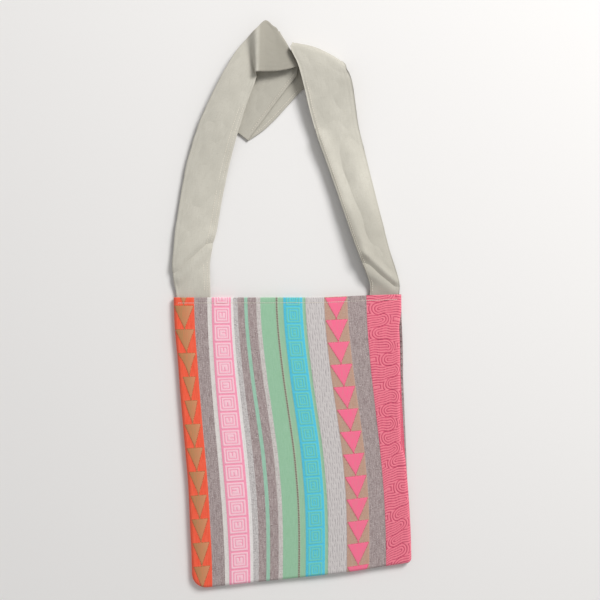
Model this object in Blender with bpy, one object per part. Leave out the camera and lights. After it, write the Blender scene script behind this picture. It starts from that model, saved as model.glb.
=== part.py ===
"""Woven striped shoulder bag with one canvas strap, lying flat on its back.

Metres, +Z up, the mouth and the strap towards +Y. The front and back panels are two pieces of striped
cloth, sewn together at the sides and along the bottom. The strap is one doubled band of canvas whose ends
are sewn in at both sides of the mouth. The cloth is drawn on a flat plane first, with s across from the left
seam and t down from the mouth, and each point is then carried to its place on the lying bag.
"""

import math
from dataclasses import dataclass

import bmesh
import bpy
from mathutils import Vector
from mathutils.geometry import delaunay_2d_cdt

# Bag body
BAG_WIDTH = 0.316
BAG_DEPTH = 0.406
CLOTH = 0.0013
LOFT = 0.009
EDGE_ROLL = 0.005
HEM_WIDTH = 0.010
SEAM_GAP = 0.0003

# How the body lies
LEAN = 0.0245
SLANT = 0.034
MOUTH_RISE = 0.0042
RIGHT_ROLL = 0.0105
LEFT_CORNER = 0.022
RIGHT_CORNER = 0.0065

# Woven relief
BAND_RELIEF = 0.0004
MOTIF_RELIEF = 0.0005
RELIEF_RAMP = 0.0006
TRIANGLE_PITCH = 0.033
TRIANGLE_MARGIN = 0.003
TAN_TRIANGLE_START = 0.0115
PINK_TRIANGLE_START = 0.001
KEY_PITCH = 0.0247
KEY_START = 0.0008
KEY_HEIGHT = 0.0215
KEY_MARGIN = 0.003
KEY_LINE = 0.0035

# Strap
STRAP_WIDTH = 0.060
STRAP_THICKNESS = 0.0022
STRAP_TAIL = 0.026
STRAP_REACH = 0.350
STRAP_RISE = 0.010
LAYER_GAP = 0.0013
FLOOR_GAP = 0.0002
FOOT_CLEARANCE = 0.0006
LEFT_GATHER = 0.013
RIGHT_GATHER = 0.019

# Thread
THREAD_WIDTH = 0.0011
THREAD_HEIGHT = 0.0005
THREAD_GAP = 0.0003
HEM_STITCH_INSET = 0.0078
STRAP_STITCH_INSET = 0.0045
STRAP_STITCH_SPACING = 0.0055
STITCHING_START = 0.008
LEFT_STITCHING_END = 0.268
RIGHT_STITCHING_END = 0.300
TACK_WIDTH = 0.028
TACK_DEPTH = 0.012

# Fineness of the meshes
CLOTH_ROW = 0.034
EDGE_ANGLES = (30.0, 60.0, 90.0)
STRAP_STEP = 0.013
STRAP_COLUMNS = 6
THREAD_STEP = 0.014
SIDE_SHARE = 0.02
MERGE = 1e-6

INSIDE_HEIGHT = 2 * CLOTH + LOFT
MIDDLE = INSIDE_HEIGHT / 2


@dataclass(frozen=True)
class Band:
    """One stripe of the cloth: its width, its colours and what is woven into it."""

    name: str
    width: float
    colour: str
    raised: bool = False
    motif: str = ""
    motif_colour: str = ""
    motif_start: float = 0.0


BANDS = (
    Band("orange", 0.0286, "FB5F42", True, "triangles", "B5875B", TAN_TRIANGLE_START),
    Band("taupe_left", 0.0178, "A2928F"),
    Band("cream", 0.0060, "E8E4E0"),
    Band("pink_key", 0.0288, "FF9EB6", True, "key", "FFC4D2", KEY_START),
    Band("white", 0.0041, "F2EFEC"),
    Band("light_grey", 0.0071, "C9C5C3"),
    Band("taupe_mid", 0.0104, "A2928F"),
    Band("mint", 0.0049, "A3CDB6"),
    Band("taupe_inner", 0.0120, "A2928F"),
    Band("cream_grey", 0.0059, "D8D3CE"),
    Band("green", 0.0210, "97C4A1"),
    Band("brown_line", 0.0031, "A08F84"),
    Band("green_edge", 0.0077, "97C4A1"),
    Band("aqua_key", 0.0265, "62CAD8", True, "key", "7FD6C9", KEY_START),
    Band("green_line", 0.0042, "8CC4A0"),
    Band("lilac_grey", 0.0263, "C2BBC0", True),
    Band("tan", 0.0314, "C79A86", True, "triangles", "FF7396", PINK_TRIANGLE_START),
    Band("taupe_right", 0.0235, "A2928F"),
    Band("coral", 1.0, "EC6A82", True),
)


@dataclass(frozen=True)
class Station:
    """One place along the strap.

    across is its centre as a share of the half width between the seams, and up its distance above the
    mouth as a share of the strap's reach. layers is how many layers of strap lie under it, and lift its
    height above them as a share of the strap's rise. heading and tilt turn the line across the strap, in
    degrees, span is that line's length as a share of the strap's width, and camber is how far its middle
    stands above its edges, as a share of the strap's rise.
    """

    across: float
    up: float
    layers: float
    lift: float
    heading: float
    tilt: float
    span: float
    camber: float = 0.0


@dataclass(frozen=True)
class Fold:
    """A place where the strap turns back over or under itself, about a line that lies flat.

    The strap bulges to the left of the line's heading where side is 1, and to its right where it is -1.
    """

    side: int
    across: float
    up: float
    low_layers: float
    low_lift: float
    high_layers: float
    high_lift: float
    heading: float
    span: float
    rises: bool


LEFT_RUN = (
    Station(-0.843, 0.0543, 0, 0.52, 2, 0, 0.83, 0.1),
    Station(-0.853, 0.1286, 0, 0.6, 6, -5, 0.87, 0.2),
    Station(-0.837, 0.2029, 0, 0.7, 3, -7, 0.89, 0.3),
    Station(-0.801, 0.2971, 0, 0.6, -11, -5, 0.95, 0.25),
    Station(-0.758, 0.4143, 0, 0.6, -10, -4, 0.96, 0.25),
    Station(-0.699, 0.5371, 0, 0.8, -13, -3, 0.96, 0.25),
    Station(-0.611, 0.6714, 0, 1.2, -17, 0, 0.92, 0.3),
    Station(-0.511, 0.7857, 0, 1.4, -21, 0, 0.83, 0.3),
    Station(-0.434, 0.8629, 0, 1.4, -31, 0, 0.77, 0.2),
    Station(-0.365, 0.9229, 0, 1.3, -53, 0, 0.77, 0.1),
    Station(-0.318, 0.9543, 0, 1.25, -76, 0, 0.86, 0.0),
    Station(-0.272, 0.9714, 0, 2.4, -90, 0, 1.00, 0.0),
    Station(-0.198, 0.9914, 0, 1.9, -90, 0, 1.18, 0.2),
    Station(-0.108, 0.9829, 0, 1.5, -84, 0, 1.04, 0.0),
    Station(-0.056, 0.9829, 0, 1.4, -70, 0, 0.97, 0.0),
)
FIRST_FOLD = Fold(1, 0.012, 0.9857, 1, 0.3, 3, 0.26, -60, 1.00, False)
UPPER_TAIL = (
    Station(-0.039, 0.9457, 1, 0.32, -51, 0, 0.95),
    Station(-0.105, 0.9086, 1, 0.15, -40, 0, 0.94),
    Station(-0.235, 0.8314, 1, 0.04, -37, 0, 0.94),
    Station(-0.372, 0.7486, 1, 0.0, -37, 0, 0.94),
    Station(-0.455, 0.7, 1, 0.0, -36, 0, 0.95),
)
SECOND_FOLD = Fold(-1, -0.500, 0.6714, 0, 0.0, 1, 0.0, -36, 0.95, False)
LOWER_TAIL = (
    Station(-0.375, 0.7086, 0, 0.0, -36, 0, 0.93),
    Station(-0.252, 0.7629, 0, 0.0, -42, 0, 0.95),
    Station(-0.122, 0.8257, 0, 0.0, -42, 0, 0.94),
    Station(0.020, 0.8886, 0, 0.0, -42, 0, 0.92),
)
THIRD_FOLD = Fold(1, 0.252, 0.9743, 0, 0.04, 0, 2.2, -21, 1.17, True)
RIGHT_RUN = (
    Station(0.315, 0.8971, 0, 2.25, -10, 0, 1.22, 0.1),
    Station(0.354, 0.8371, 0, 2.05, 2, 0, 1.12, 0.15),
    Station(0.394, 0.7514, 0, 1.65, 12, -3, 1.07, 0.2),
    Station(0.442, 0.6571, 0, 1.3, 17, -6, 1.00, 0.3),
    Station(0.505, 0.5657, 0, 1.15, 20, -9, 0.95, 0.4),
    Station(0.572, 0.4657, 0, 1.15, 19, -12, 0.90, 0.5),
    Station(0.639, 0.3629, 0, 1.25, 19, -15, 0.86, 0.5),
    Station(0.708, 0.2571, 0, 1.35, 19, -18, 0.82, 0.5),
    Station(0.763, 0.1771, 0, 1.3, 15, -19, 0.77, 0.4),
    Station(0.822, 0.1029, 0, 1.0, 9, -14, 0.72, 0.2),
    Station(0.855, 0.0514, 0, 0.65, 3, -5, 0.69, 0.1),
)


@dataclass(frozen=True)
class StitchRow:
    """A row of topstitching along the inner edge of the strap's left run, -1, or its right run, 1."""

    name: str
    run: int
    inset: float
    end: float


STITCH_ROWS = (
    StitchRow("strap_stitching_left_edge", -1, STRAP_STITCH_INSET, LEFT_STITCHING_END),
    StitchRow(
        "strap_stitching_left_inner",
        -1,
        STRAP_STITCH_INSET + STRAP_STITCH_SPACING,
        LEFT_STITCHING_END,
    ),
    StitchRow("strap_stitching_right", 1, STRAP_STITCH_INSET, RIGHT_STITCHING_END),
)


def smooth(value):
    """Return value eased from 0 to 1, flat at both ends."""
    value = min(max(value, 0.0), 1.0)
    return value * value * (3 - 2 * value)


def linear_colour(hex_colour):
    """Return the linear RGBA of an sRGB hex colour."""
    channels = [int(hex_colour[i : i + 2], 16) / 255 for i in (0, 2, 4)]
    return [c / 12.92 if c < 0.04045 else ((c + 0.055) / 1.055) ** 2.4 for c in channels] + [1.0]


def new_material(name, hex_colour, roughness=0.85):
    """Return a Principled BSDF material of one colour."""
    material = bpy.data.materials.new(name)
    material.use_nodes = True
    material.diffuse_color = linear_colour(hex_colour)
    shader = material.node_tree.nodes["Principled BSDF"]
    shader.inputs["Base Color"].default_value = linear_colour(hex_colour)
    shader.inputs["Roughness"].default_value = roughness
    shader.inputs["Metallic"].default_value = 0.0
    return material


def new_object(name, vertices, faces, materials, slots=None):
    """Make one mesh object, its faces turned outwards."""
    mesh = bpy.data.meshes.new(name)
    mesh.from_pydata([tuple(v) for v in vertices], [], faces)
    for material in materials:
        mesh.materials.append(material)
    for polygon, slot in zip(mesh.polygons, slots or []):
        polygon.material_index = slot
    work = bmesh.new()
    work.from_mesh(mesh)
    bmesh.ops.triangulate(work, faces=[f for f in work.faces if len(f.verts) > 4])
    bmesh.ops.recalc_face_normals(work, faces=work.faces)
    work.to_mesh(mesh)
    work.free()
    item = bpy.data.objects.new(name, mesh)
    bpy.context.collection.objects.link(item)
    return item


def band_edges():
    """Return the band limits across the cloth, the last band taking what is left."""
    edges = [0.0]
    for band in BANDS:
        edges.append(min(edges[-1] + band.width, BAG_WIDTH))
    return edges


EDGES = band_edges()


def right_edge(t):
    """Return how far across the cloth still shows at depth t, before it rolls under at the right."""
    return BAG_WIDTH - RIGHT_ROLL * smooth((t / BAG_DEPTH - 0.15) / 0.45)


def lay(s, t):
    """Return the place on the floor plan of the cloth's point s, t."""
    x = s - BAG_WIDTH / 2 + LEAN * smooth(t / BAG_DEPTH)
    shorten = 1 - SLANT / BAG_DEPTH * s / BAG_WIDTH
    y = MOUTH_RISE * smooth((s / BAG_WIDTH - 0.6) / 0.4) - t * shorten
    return x, y


def rows():
    """Return the depths at which the long lines of the cloth get a point."""
    count = max(2, round(BAG_DEPTH / CLOTH_ROW))
    return [BAG_DEPTH * i / count for i in range(count + 1)]


def arc(centre, radius, start, end, steps):
    """Return points on an arc in the cloth plane, angles in degrees."""
    angles = [math.radians(start + (end - start) * i / steps) for i in range(steps + 1)]
    return [(centre[0] + radius * math.cos(a), centre[1] + radius * math.sin(a)) for a in angles]


def seam_line():
    """Return the seamed edge of a panel in the cloth plane: down the left, along the bottom, up the right."""
    down = [(0.0, t) for t in rows() if t < BAG_DEPTH - LEFT_CORNER - CLOTH_ROW / 3]
    left = arc((LEFT_CORNER, BAG_DEPTH - LEFT_CORNER), LEFT_CORNER, 180, 90, 6)
    far = right_edge(BAG_DEPTH)
    right = arc((far - RIGHT_CORNER, BAG_DEPTH - RIGHT_CORNER), RIGHT_CORNER, 90, 0, 4)
    up = [(right_edge(t), t) for t in reversed(rows()) if t < BAG_DEPTH - RIGHT_CORNER - CLOTH_ROW / 3]
    return down + left + right + up


def inset(line, distance):
    """Return the open line moved towards the inside of the panel."""
    moved = []
    for i, (s, t) in enumerate(line):
        before, after = line[max(i - 1, 0)], line[min(i + 1, len(line) - 1)]
        along = Vector((after[0] - before[0], after[1] - before[1])).normalized()
        moved.append((s + along.y * distance, t - along.x * distance))
    return moved


def nearest_edge(line, s, t):
    """Return the distance from s, t to the open line, and the direction from it to the inside."""
    point = Vector((s, t))
    best, found = None, []
    for a, b in zip(line, line[1:]):
        start, end = Vector(a), Vector(b)
        run = end - start
        share = min(max((point - start).dot(run) / run.length_squared, 0.0), 1.0)
        distance = (point - start - run * share).length
        inward = Vector((run.y, -run.x)).normalized()
        if best is None or distance < best - MERGE:
            best, found = distance, [inward]
        elif distance < best + MERGE:
            found.append(inward)
    return best, sum(found, Vector((0.0, 0.0))).normalized()


def ramp(distance):
    """Return how far up its slope a woven figure is, a distance inside its outline."""
    return min(max(distance / RELIEF_RAMP, 0.0), 1.0)


def triangle_corners(index, base):
    """Return the corners of a woven triangle that points down, its base at depth base."""
    left, right = EDGES[index] + TRIANGLE_MARGIN, EDGES[index + 1] - TRIANGLE_MARGIN
    tip = base + TRIANGLE_PITCH - TRIANGLE_MARGIN
    return (left, base), (right, base), ((left + right) / 2, tip)


def motif_places(band):
    """Return the depths at which a band's figures start."""
    pitch = TRIANGLE_PITCH if band.motif == "triangles" else KEY_PITCH
    first = band.motif_start - pitch
    return [first + pitch * i for i in range(int((BAG_DEPTH - first) / pitch) + 1)]


def inside_triangle(corners, s, t):
    """Return how far s, t lies inside a triangle, negative outside it."""
    middle = Vector((sum(c[0] for c in corners) / 3, sum(c[1] for c in corners) / 3))
    distances = []
    for a, b in zip(corners, corners[1:] + corners[:1]):
        run = Vector((b[0] - a[0], b[1] - a[1]))
        normal = Vector((-run.y, run.x)).normalized()
        if normal.dot(middle - Vector(a)) < 0:
            normal = -normal
        distances.append(normal.dot(Vector((s - a[0], t - a[1]))))
    return min(distances)


def key_halves(index):
    """Return the half sizes across and down of a key's outer square, its gap and its core."""
    across = (EDGES[index + 1] - EDGES[index]) / 2 - KEY_MARGIN
    down = KEY_HEIGHT / 2
    return [(across - KEY_LINE * i, down - KEY_LINE * i) for i in range(3)]


def inside_key(index, centre, s, t):
    """Return how far s, t lies inside a nested square figure, negative outside it."""
    middle = (EDGES[index] + EDGES[index + 1]) / 2
    outer, gap, core = (
        min(across - abs(s - middle), down - abs(t - centre)) for across, down in key_halves(index)
    )
    return max(min(outer, -gap), core)


def motif_depth(index, s, t):
    """Return how far s, t lies inside the nearest woven figure of a band."""
    band = BANDS[index]
    if band.motif == "triangles":
        return max(inside_triangle(triangle_corners(index, base), s, t) for base in motif_places(band))
    if band.motif == "key":
        return max(inside_key(index, centre, s, t) for centre in motif_places(band))
    return -1.0


def relief(s, t):
    """Return how far the weave stands above the plain cloth at s, t."""
    height = 0.0
    for index, band in enumerate(BANDS):
        if band.raised:
            height += BAND_RELIEF * ramp(min(s - EDGES[index], EDGES[index + 1] - s))
        if band.motif and EDGES[index] < s < EDGES[index + 1]:
            height += MOTIF_RELIEF * ramp(motif_depth(index, s, t))
    return height * ramp(t - HEM_WIDTH)


class Drawing:
    """Lines on the cloth plane, from which the panel's triangles are made."""

    def __init__(self):
        self.points = []
        self.links = []

    def line(self, points, closed=False):
        """Add a run of points joined in order."""
        first = len(self.points)
        self.points += [Vector(p) for p in points]
        self.links += [(i, i + 1) for i in range(first, len(self.points) - 1)]
        if closed:
            self.links.append((len(self.points) - 1, first))

    def triangles(self, outline):
        """Return the points and the triangles that lie inside the outline."""
        made = delaunay_2d_cdt(self.points, self.links, [], 0, MERGE, False)
        points = [(p.x, p.y) for p in made[0]]
        kept = []
        for face in made[2]:
            s = sum(points[i][0] for i in face) / len(face)
            t = sum(points[i][1] for i in face) / len(face)
            if contains(outline, s, t):
                kept.append(tuple(face))
        return points, kept


def contains(outline, s, t):
    """Return whether s, t lies inside the closed outline."""
    inside = False
    for (s1, t1), (s2, t2) in zip(outline, outline[1:] + outline[:1]):
        if (t1 > t) != (t2 > t) and s < s1 + (t - t1) * (s2 - s1) / (t2 - t1):
            inside = not inside
    return inside


def draw_rolled_edges(drawing, seam):
    """Add the lines along which the cloth bends down to its seam, and the two lines of the hem."""
    for angle in EDGE_ANGLES:
        moved = inset(seam, EDGE_ROLL * (1 - math.cos(math.radians(angle))))
        drawing.line(moved)
    for depth in (HEM_WIDTH, HEM_WIDTH + RELIEF_RAMP):
        drawing.line([(-EDGE_ROLL, depth), (BAG_WIDTH + EDGE_ROLL, depth)])


def draw_bands(drawing):
    """Add the stripes' limits, doubled where a raised stripe slopes up from its neighbour."""
    reach = [-EDGE_ROLL] + rows()[1:-1] + [BAG_DEPTH + EDGE_ROLL]
    for index in range(1, len(EDGES) - 1):
        if EDGES[index] >= BAG_WIDTH - EDGE_ROLL:
            break
        places = [EDGES[index]]
        if BANDS[index].raised:
            places.append(EDGES[index] + RELIEF_RAMP)
        if BANDS[index - 1].raised:
            places.append(EDGES[index] - RELIEF_RAMP)
        for s in places:
            drawing.line([(s, t) for t in reach])


def shrink(corners, distance):
    """Return a convex outline moved inwards by a distance."""
    middle = Vector((sum(c[0] for c in corners) / len(corners), sum(c[1] for c in corners) / len(corners)))
    moved = []
    count = len(corners)
    for i in range(count):
        here = Vector(corners[i])
        before = (Vector(corners[i - 1]) - here).normalized()
        after = (Vector(corners[(i + 1) % count]) - here).normalized()
        inward = (before + after).normalized()
        if inward.dot(middle - here) < 0:
            inward = -inward
        half = math.acos(max(-1.0, min(1.0, before.dot(after)))) / 2
        moved.append(tuple(here + inward * distance / math.sin(half)))
    return moved


def rectangle(centre, half):
    """Return the corners of an upright rectangle on the cloth plane."""
    (s, t), (across, down) = centre, half
    return [(s - across, t - down), (s + across, t - down), (s + across, t + down), (s - across, t + down)]


def draw_motifs(drawing, seam):
    """Add the outlines of the woven triangles and keys that lie on the panel, whole or in part."""
    for index, band in enumerate(BANDS):
        for place in motif_places(band) if band.motif else []:
            if band.motif == "triangles":
                corners = list(triangle_corners(index, place))
                outlines = [corners, shrink(corners, RELIEF_RAMP)]
            else:
                centre = ((EDGES[index] + EDGES[index + 1]) / 2, place)
                outer, gap, core = (rectangle(centre, half) for half in key_halves(index))
                outlines = [outer, shrink(outer, RELIEF_RAMP), gap, shrink(gap, -RELIEF_RAMP)]
                outlines += [core, shrink(core, RELIEF_RAMP)]
            if any(contains(seam, *corner) for corner in outlines[0]):
                for outline in outlines:
                    drawing.line(outline, closed=True)


def edge_share(line, s, t):
    """Return how far up the rolled edge s, t is, from 0 at the seam to 1 on the flat, and the way inwards."""
    distance, inward = nearest_edge(line, s, t)
    cosine = 1 - min(distance / EDGE_ROLL, 1.0)
    return math.sqrt(max(0.0, 1 - cosine * cosine)), cosine, inward


def wall(t):
    """Return the thickness of the panel at depth t, doubled where the hem is turned in."""
    return CLOTH * (2 - ramp(t - HEM_WIDTH))


def outer_point(seam, s, t, side, woven):
    """Return a point of a panel's outer face, side being 1 for the front and -1 for the back."""
    share, _, _ = edge_share(seam, s, t)
    height = SEAM_GAP / 2 + (MIDDLE - SEAM_GAP / 2) * share
    if woven:
        height += relief(s, t) * share
    return (*lay(s, t), MIDDLE + side * height)


def inner_point(seam, s, t, side):
    """Return a point of a panel's inner face."""
    share, cosine, inward = edge_share(seam, s, t)
    height = SEAM_GAP / 2 + (MIDDLE - SEAM_GAP / 2 - wall(t)) * share
    shift = inward * wall(t) * cosine
    return (*lay(s + shift.x, t + shift.y), MIDDLE + side * height)


def rim_edges(faces):
    """Return the edges that only one triangle uses, in that triangle's direction."""
    edges = {(a, b) for face in faces for a, b in zip(face, face[1:] + face[:1])}
    return [(a, b) for a, b in edges if (b, a) not in edges]


def face_slot(points, face):
    """Return the material number at the middle of a face: its stripe, or its stripe's figure."""
    s = sum(points[i][0] for i in face) / len(face)
    t = sum(points[i][1] for i in face) / len(face)
    index = max(i for i in range(len(BANDS)) if EDGES[i] <= s + MERGE)
    if BANDS[index].motif and motif_depth(index, s, t) > 0:
        return len(BANDS) + index
    return index


def cloth_materials(prefix):
    """Return the stripes' materials, and after them the materials of their figures."""
    grounds = [new_material(f"{prefix}_{band.name}", band.colour) for band in BANDS]
    figures = [
        new_material(f"{prefix}_{band.name}_figure", band.motif_colour or band.colour) for band in BANDS
    ]
    return grounds + figures


def make_panel(name, side, woven):
    """Make one cloth panel: an outer face in stripes, a plain inner face and the rim between them."""
    seam = seam_line()
    outer = Drawing()
    outer.line(seam, closed=True)
    draw_rolled_edges(outer, seam)
    draw_bands(outer)
    if woven:
        draw_motifs(outer, seam)
    outer_points, outer_faces = outer.triangles(seam)
    rim = rim_edges(outer_faces)

    order = dict(rim)
    first = rim[0][0]
    loop = [first]
    while order[loop[-1]] != first:
        loop.append(order[loop[-1]])
    rim_line = [outer_points[i] for i in loop]
    inner = Drawing()
    inner.line(rim_line, closed=True)
    draw_rolled_edges(inner, seam)
    inner_points, inner_faces = inner.triangles(rim_line)

    base = len(outer_points)
    place = {(round(s / MERGE), round(t / MERGE)): i for i, (s, t) in enumerate(inner_points)}

    def partner(index):
        s, t = outer_points[index]
        near = [(i, j) for i in (-1, 0, 1) for j in (-1, 0, 1)]
        found = (place.get((round(s / MERGE) + i, round(t / MERGE) + j)) for i, j in near)
        return base + next(i for i in found if i is not None)

    vertices = [outer_point(seam, s, t, side, woven) for s, t in outer_points]
    vertices += [inner_point(seam, s, t, side) for s, t in inner_points]
    faces = list(outer_faces)
    slots = [face_slot(outer_points, face) for face in outer_faces]
    faces += [tuple(base + i for i in reversed(face)) for face in inner_faces]
    slots += [face_slot(inner_points, face) % len(BANDS) for face in inner_faces]
    for a, b in rim:
        faces.append((b, a, partner(a), partner(b)))
        slots.append(face_slot(outer_points, (a, b)) % len(BANDS))
    used = sorted({i for face in faces for i in face})
    number = {old: new for new, old in enumerate(used)}
    vertices = [vertices[i] for i in used]
    faces = [tuple(number[i] for i in face) for face in faces]
    return new_object(name, vertices, faces, cloth_materials(name), slots)


def layer_height(layers, lift):
    """Return the height of the strap's middle above the floor on a number of its own layers."""
    return FLOOR_GAP + STRAP_THICKNESS / 2 + layers * (STRAP_THICKNESS + LAYER_GAP) + lift * STRAP_RISE


def station_values(station):
    """Return a station as centre x, y, z, heading, tilt, span and camber."""
    return (
        station.across * BAG_WIDTH / 2,
        station.up * STRAP_REACH,
        layer_height(station.layers, station.lift),
        station.heading,
        station.tilt,
        station.span * STRAP_WIDTH,
        station.camber * STRAP_RISE,
    )


def foot_values(side, up):
    """Return the strap's values where it lies flat inside the mouth, gathered a little, against the side."""
    span = STRAP_WIDTH - (LEFT_GATHER if side < 0 else RIGHT_GATHER)
    inset_from_seam = 2 * CLOTH + FOOT_CLEARANCE + span / 2
    return (side * (BAG_WIDTH / 2 - inset_from_seam), up, MIDDLE, 0.0, 0.0, span, 0.0)


def fold_values(fold):
    """Return the points of a half turn about the fold's line."""
    low = layer_height(fold.low_layers, fold.low_lift)
    high = layer_height(fold.high_layers, fold.high_lift)
    radius, middle = (high - low) / 2, (high + low) / 2
    turn = math.radians(fold.heading)
    outward = Vector((-math.sin(turn), math.cos(turn))) * fold.side
    start = -1 if fold.rises else 1
    reach = min(radius, STRAP_WIDTH / 6)
    points = []
    for degrees in (-90, -60, -30, 0, 30, 60, 90):
        angle = math.radians(degrees)
        out = outward * reach * (math.cos(angle) - 1)
        z = middle - start * radius * math.sin(angle)
        x = fold.across * BAG_WIDTH / 2 + out.x
        y = fold.up * STRAP_REACH + out.y
        points.append((x, y, z, fold.heading, 0.0, fold.span * STRAP_WIDTH, 0.0))
    return points


def route_values():
    """Return the strap's values at every station and fold, from its left end to its right end."""
    values = [foot_values(-1, -STRAP_TAIL), foot_values(-1, 0.0)]
    values += [station_values(s) for s in LEFT_RUN] + fold_values(FIRST_FOLD)
    values += [station_values(s) for s in UPPER_TAIL] + fold_values(SECOND_FOLD)
    values += [station_values(s) for s in LOWER_TAIL] + fold_values(THIRD_FOLD)
    values += [station_values(s) for s in RIGHT_RUN]
    values += [foot_values(1, 0.0), foot_values(1, -STRAP_TAIL)]
    return values


def smooth_route(values, step):
    """Return the values read along one smooth curve through all of them, about a step apart."""
    places = [0.0]
    for a, b in zip(values, values[1:]):
        places.append(places[-1] + (Vector(b[:3]) - Vector(a[:3])).length)
    slopes = []
    for i in range(len(values)):
        a, b = max(i - 1, 0), min(i + 1, len(values) - 1)
        slopes.append([(q - p) / (places[b] - places[a]) for p, q in zip(values[a], values[b])])
    read = []
    for i in range(len(values) - 1):
        length = places[i + 1] - places[i]
        count = max(1, round(length / step))
        for k in range(count):
            u = k / count
            near, far = 1 - u * u * (3 - 2 * u), u * u * (3 - 2 * u)
            out, back = u * (1 - u) ** 2 * length, -u * u * (1 - u) * length
            read.append(
                [
                    near * p + far * q + out * m + back * n
                    for p, q, m, n in zip(values[i], values[i + 1], slopes[i], slopes[i + 1])
                ]
            )
    read.append(list(values[-1]))
    return read


def across_line(value, share):
    """Return the point of the strap's middle surface at a share from its left edge, -1, to its right, 1."""
    x, y, z, heading, tilt, span, camber = value
    turn, lean = math.radians(heading), math.radians(tilt)
    ruling = Vector((math.cos(turn) * math.cos(lean), math.sin(turn) * math.cos(lean), math.sin(lean)))
    return Vector((x, y, z - camber * share * share)) + ruling * span / 2 * share


def strap_grid(shares, step=STRAP_STEP):
    """Return the points and the upward normals of the strap's middle surface."""
    route = smooth_route(route_values(), step)
    points = [[across_line(value, share) for share in shares] for value in route]
    normals = []
    for i, row in enumerate(points):
        before, after = points[max(i - 1, 0)], points[min(i + 1, len(points) - 1)]
        line = []
        for j in range(len(row)):
            left, right = row[max(j - 1, 0)], row[min(j + 1, len(row) - 1)]
            line.append((right - left).cross(after[j] - before[j]).normalized())
        normals.append(line)
    return points, normals


def make_strap():
    """Make the strap: one band of even thickness through all its stations and folds."""
    shares = [-1 + 2 * j / STRAP_COLUMNS for j in range(STRAP_COLUMNS + 1)]
    points, normals = strap_grid(shares)
    count, columns = len(points), len(shares)
    half = STRAP_THICKNESS / 2
    vertices = [p + n * half for row, line in zip(points, normals) for p, n in zip(row, line)]
    vertices += [p - n * half for row, line in zip(points, normals) for p, n in zip(row, line)]
    under = count * columns
    faces = []
    for i in range(count - 1):
        for j in range(columns - 1):
            a = i * columns + j
            quad = (a, a + 1, a + columns + 1, a + columns)
            faces.append(quad)
            faces.append(tuple(under + v for v in reversed(quad)))
        for a in (i * columns, i * columns + columns - 1):
            faces.append((a, a + columns, under + a + columns, under + a))
    for i in (0, count - 1):
        for j in range(columns - 1):
            a = i * columns + j
            faces.append((a, under + a, under + a + 1, a + 1))
    return new_object("shoulder_strap", vertices, faces, [new_material("strap_canvas", "C9C5B8")])


def make_thread(name, points, ups, hex_colour, closed=False):
    """Make a flat thread along points, each of which has its own upward direction."""
    vertices, faces = [], []
    count = len(points)
    for i, (point, up) in enumerate(zip(points, ups)):
        before = points[i - 1] if closed else points[max(i - 1, 0)]
        after = points[(i + 1) % count] if closed else points[min(i + 1, count - 1)]
        side = (after - before).cross(up).normalized() * THREAD_WIDTH / 2
        rise = up.normalized() * THREAD_HEIGHT / 2
        vertices += [point - side - rise, point + side - rise, point + side + rise, point - side + rise]
    for i in range(count if closed else count - 1):
        a, b = 4 * i, 4 * ((i + 1) % count)
        faces += [(a + j, a + (j + 1) % 4, b + (j + 1) % 4, b + j) for j in range(4)]
    if not closed:
        faces += [(0, 1, 2, 3), tuple(4 * (count - 1) + j for j in range(4))]
    return new_object(name, vertices, faces, [new_material(f"{name}_thread", hex_colour)])


def make_strap_stitching():
    """Make the rows of topstitching on the upper side of the strap's two runs, along their inner edges."""
    away = STRAP_THICKNESS / 2 + THREAD_GAP + THREAD_HEIGHT / 2
    for row in STITCH_ROWS:
        share = -row.run * (1 - 2 * row.inset / STRAP_WIDTH)
        points, normals = strap_grid((share - SIDE_SHARE, share, share + SIDE_SHARE), THREAD_STEP)
        middle = len(points) // 2
        order = range(middle) if row.run < 0 else range(len(points) - 1, middle, -1)
        line, ups = [], []
        for i in order:
            point, up = points[i][1], normals[i][1] * -row.run
            if point.y > row.end:
                break
            if point.y >= STITCHING_START:
                line.append(point + up * away)
                ups.append(up)
        make_thread(row.name, line, ups, "E4DFD2")


def make_hem_stitching():
    """Make the thread rows that hold the two hems, outside on the front and inside on the back."""
    up = Vector((0, 0, 1))
    steps = max(2, round(BAG_WIDTH / THREAD_STEP))
    away = THREAD_GAP + THREAD_HEIGHT / 2
    heights = {"hem_stitching_front": INSIDE_HEIGHT + away, "hem_stitching_back": 2 * CLOTH + away}
    for name, height in heights.items():
        line = []
        for i in range(steps + 1):
            s = EDGE_ROLL + 2 * CLOTH + (BAG_WIDTH - 2 * EDGE_ROLL - 4 * CLOTH) * i / steps
            line.append(Vector((*lay(s, HEM_STITCH_INSET), height)))
        make_thread(name, line, [up] * len(line), "EFE9DD")


def make_seams():
    """Make the threads that join the panels, inside the bag beside the seam."""
    up = Vector((0, 0, 1))
    away = CLOTH + THREAD_GAP + THREAD_WIDTH / 2
    line = inset(seam_line(), away)
    start = STRAP_TAIL + THREAD_STEP
    left = [p for p in line if p[0] < LEFT_CORNER and start < p[1] < BAG_DEPTH - LEFT_CORNER]
    right = [p for p in line if p[0] > BAG_WIDTH / 2 and start < p[1] < BAG_DEPTH - CLOTH_ROW]
    depth = BAG_DEPTH - away
    steps = max(2, round(BAG_WIDTH / THREAD_STEP / 2))
    first, last = LEFT_CORNER, right_edge(BAG_DEPTH) - 2 * RIGHT_CORNER
    bottom = [(first + (last - first) * i / steps, depth) for i in range(steps + 1)]
    for name, run in (("side_seam_left", left), ("side_seam_right", right), ("bottom_seam", bottom)):
        points = [Vector((*lay(s, t), MIDDLE)) for s, t in run]
        make_thread(name, points, [up] * len(points), "B7ABA4")


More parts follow.
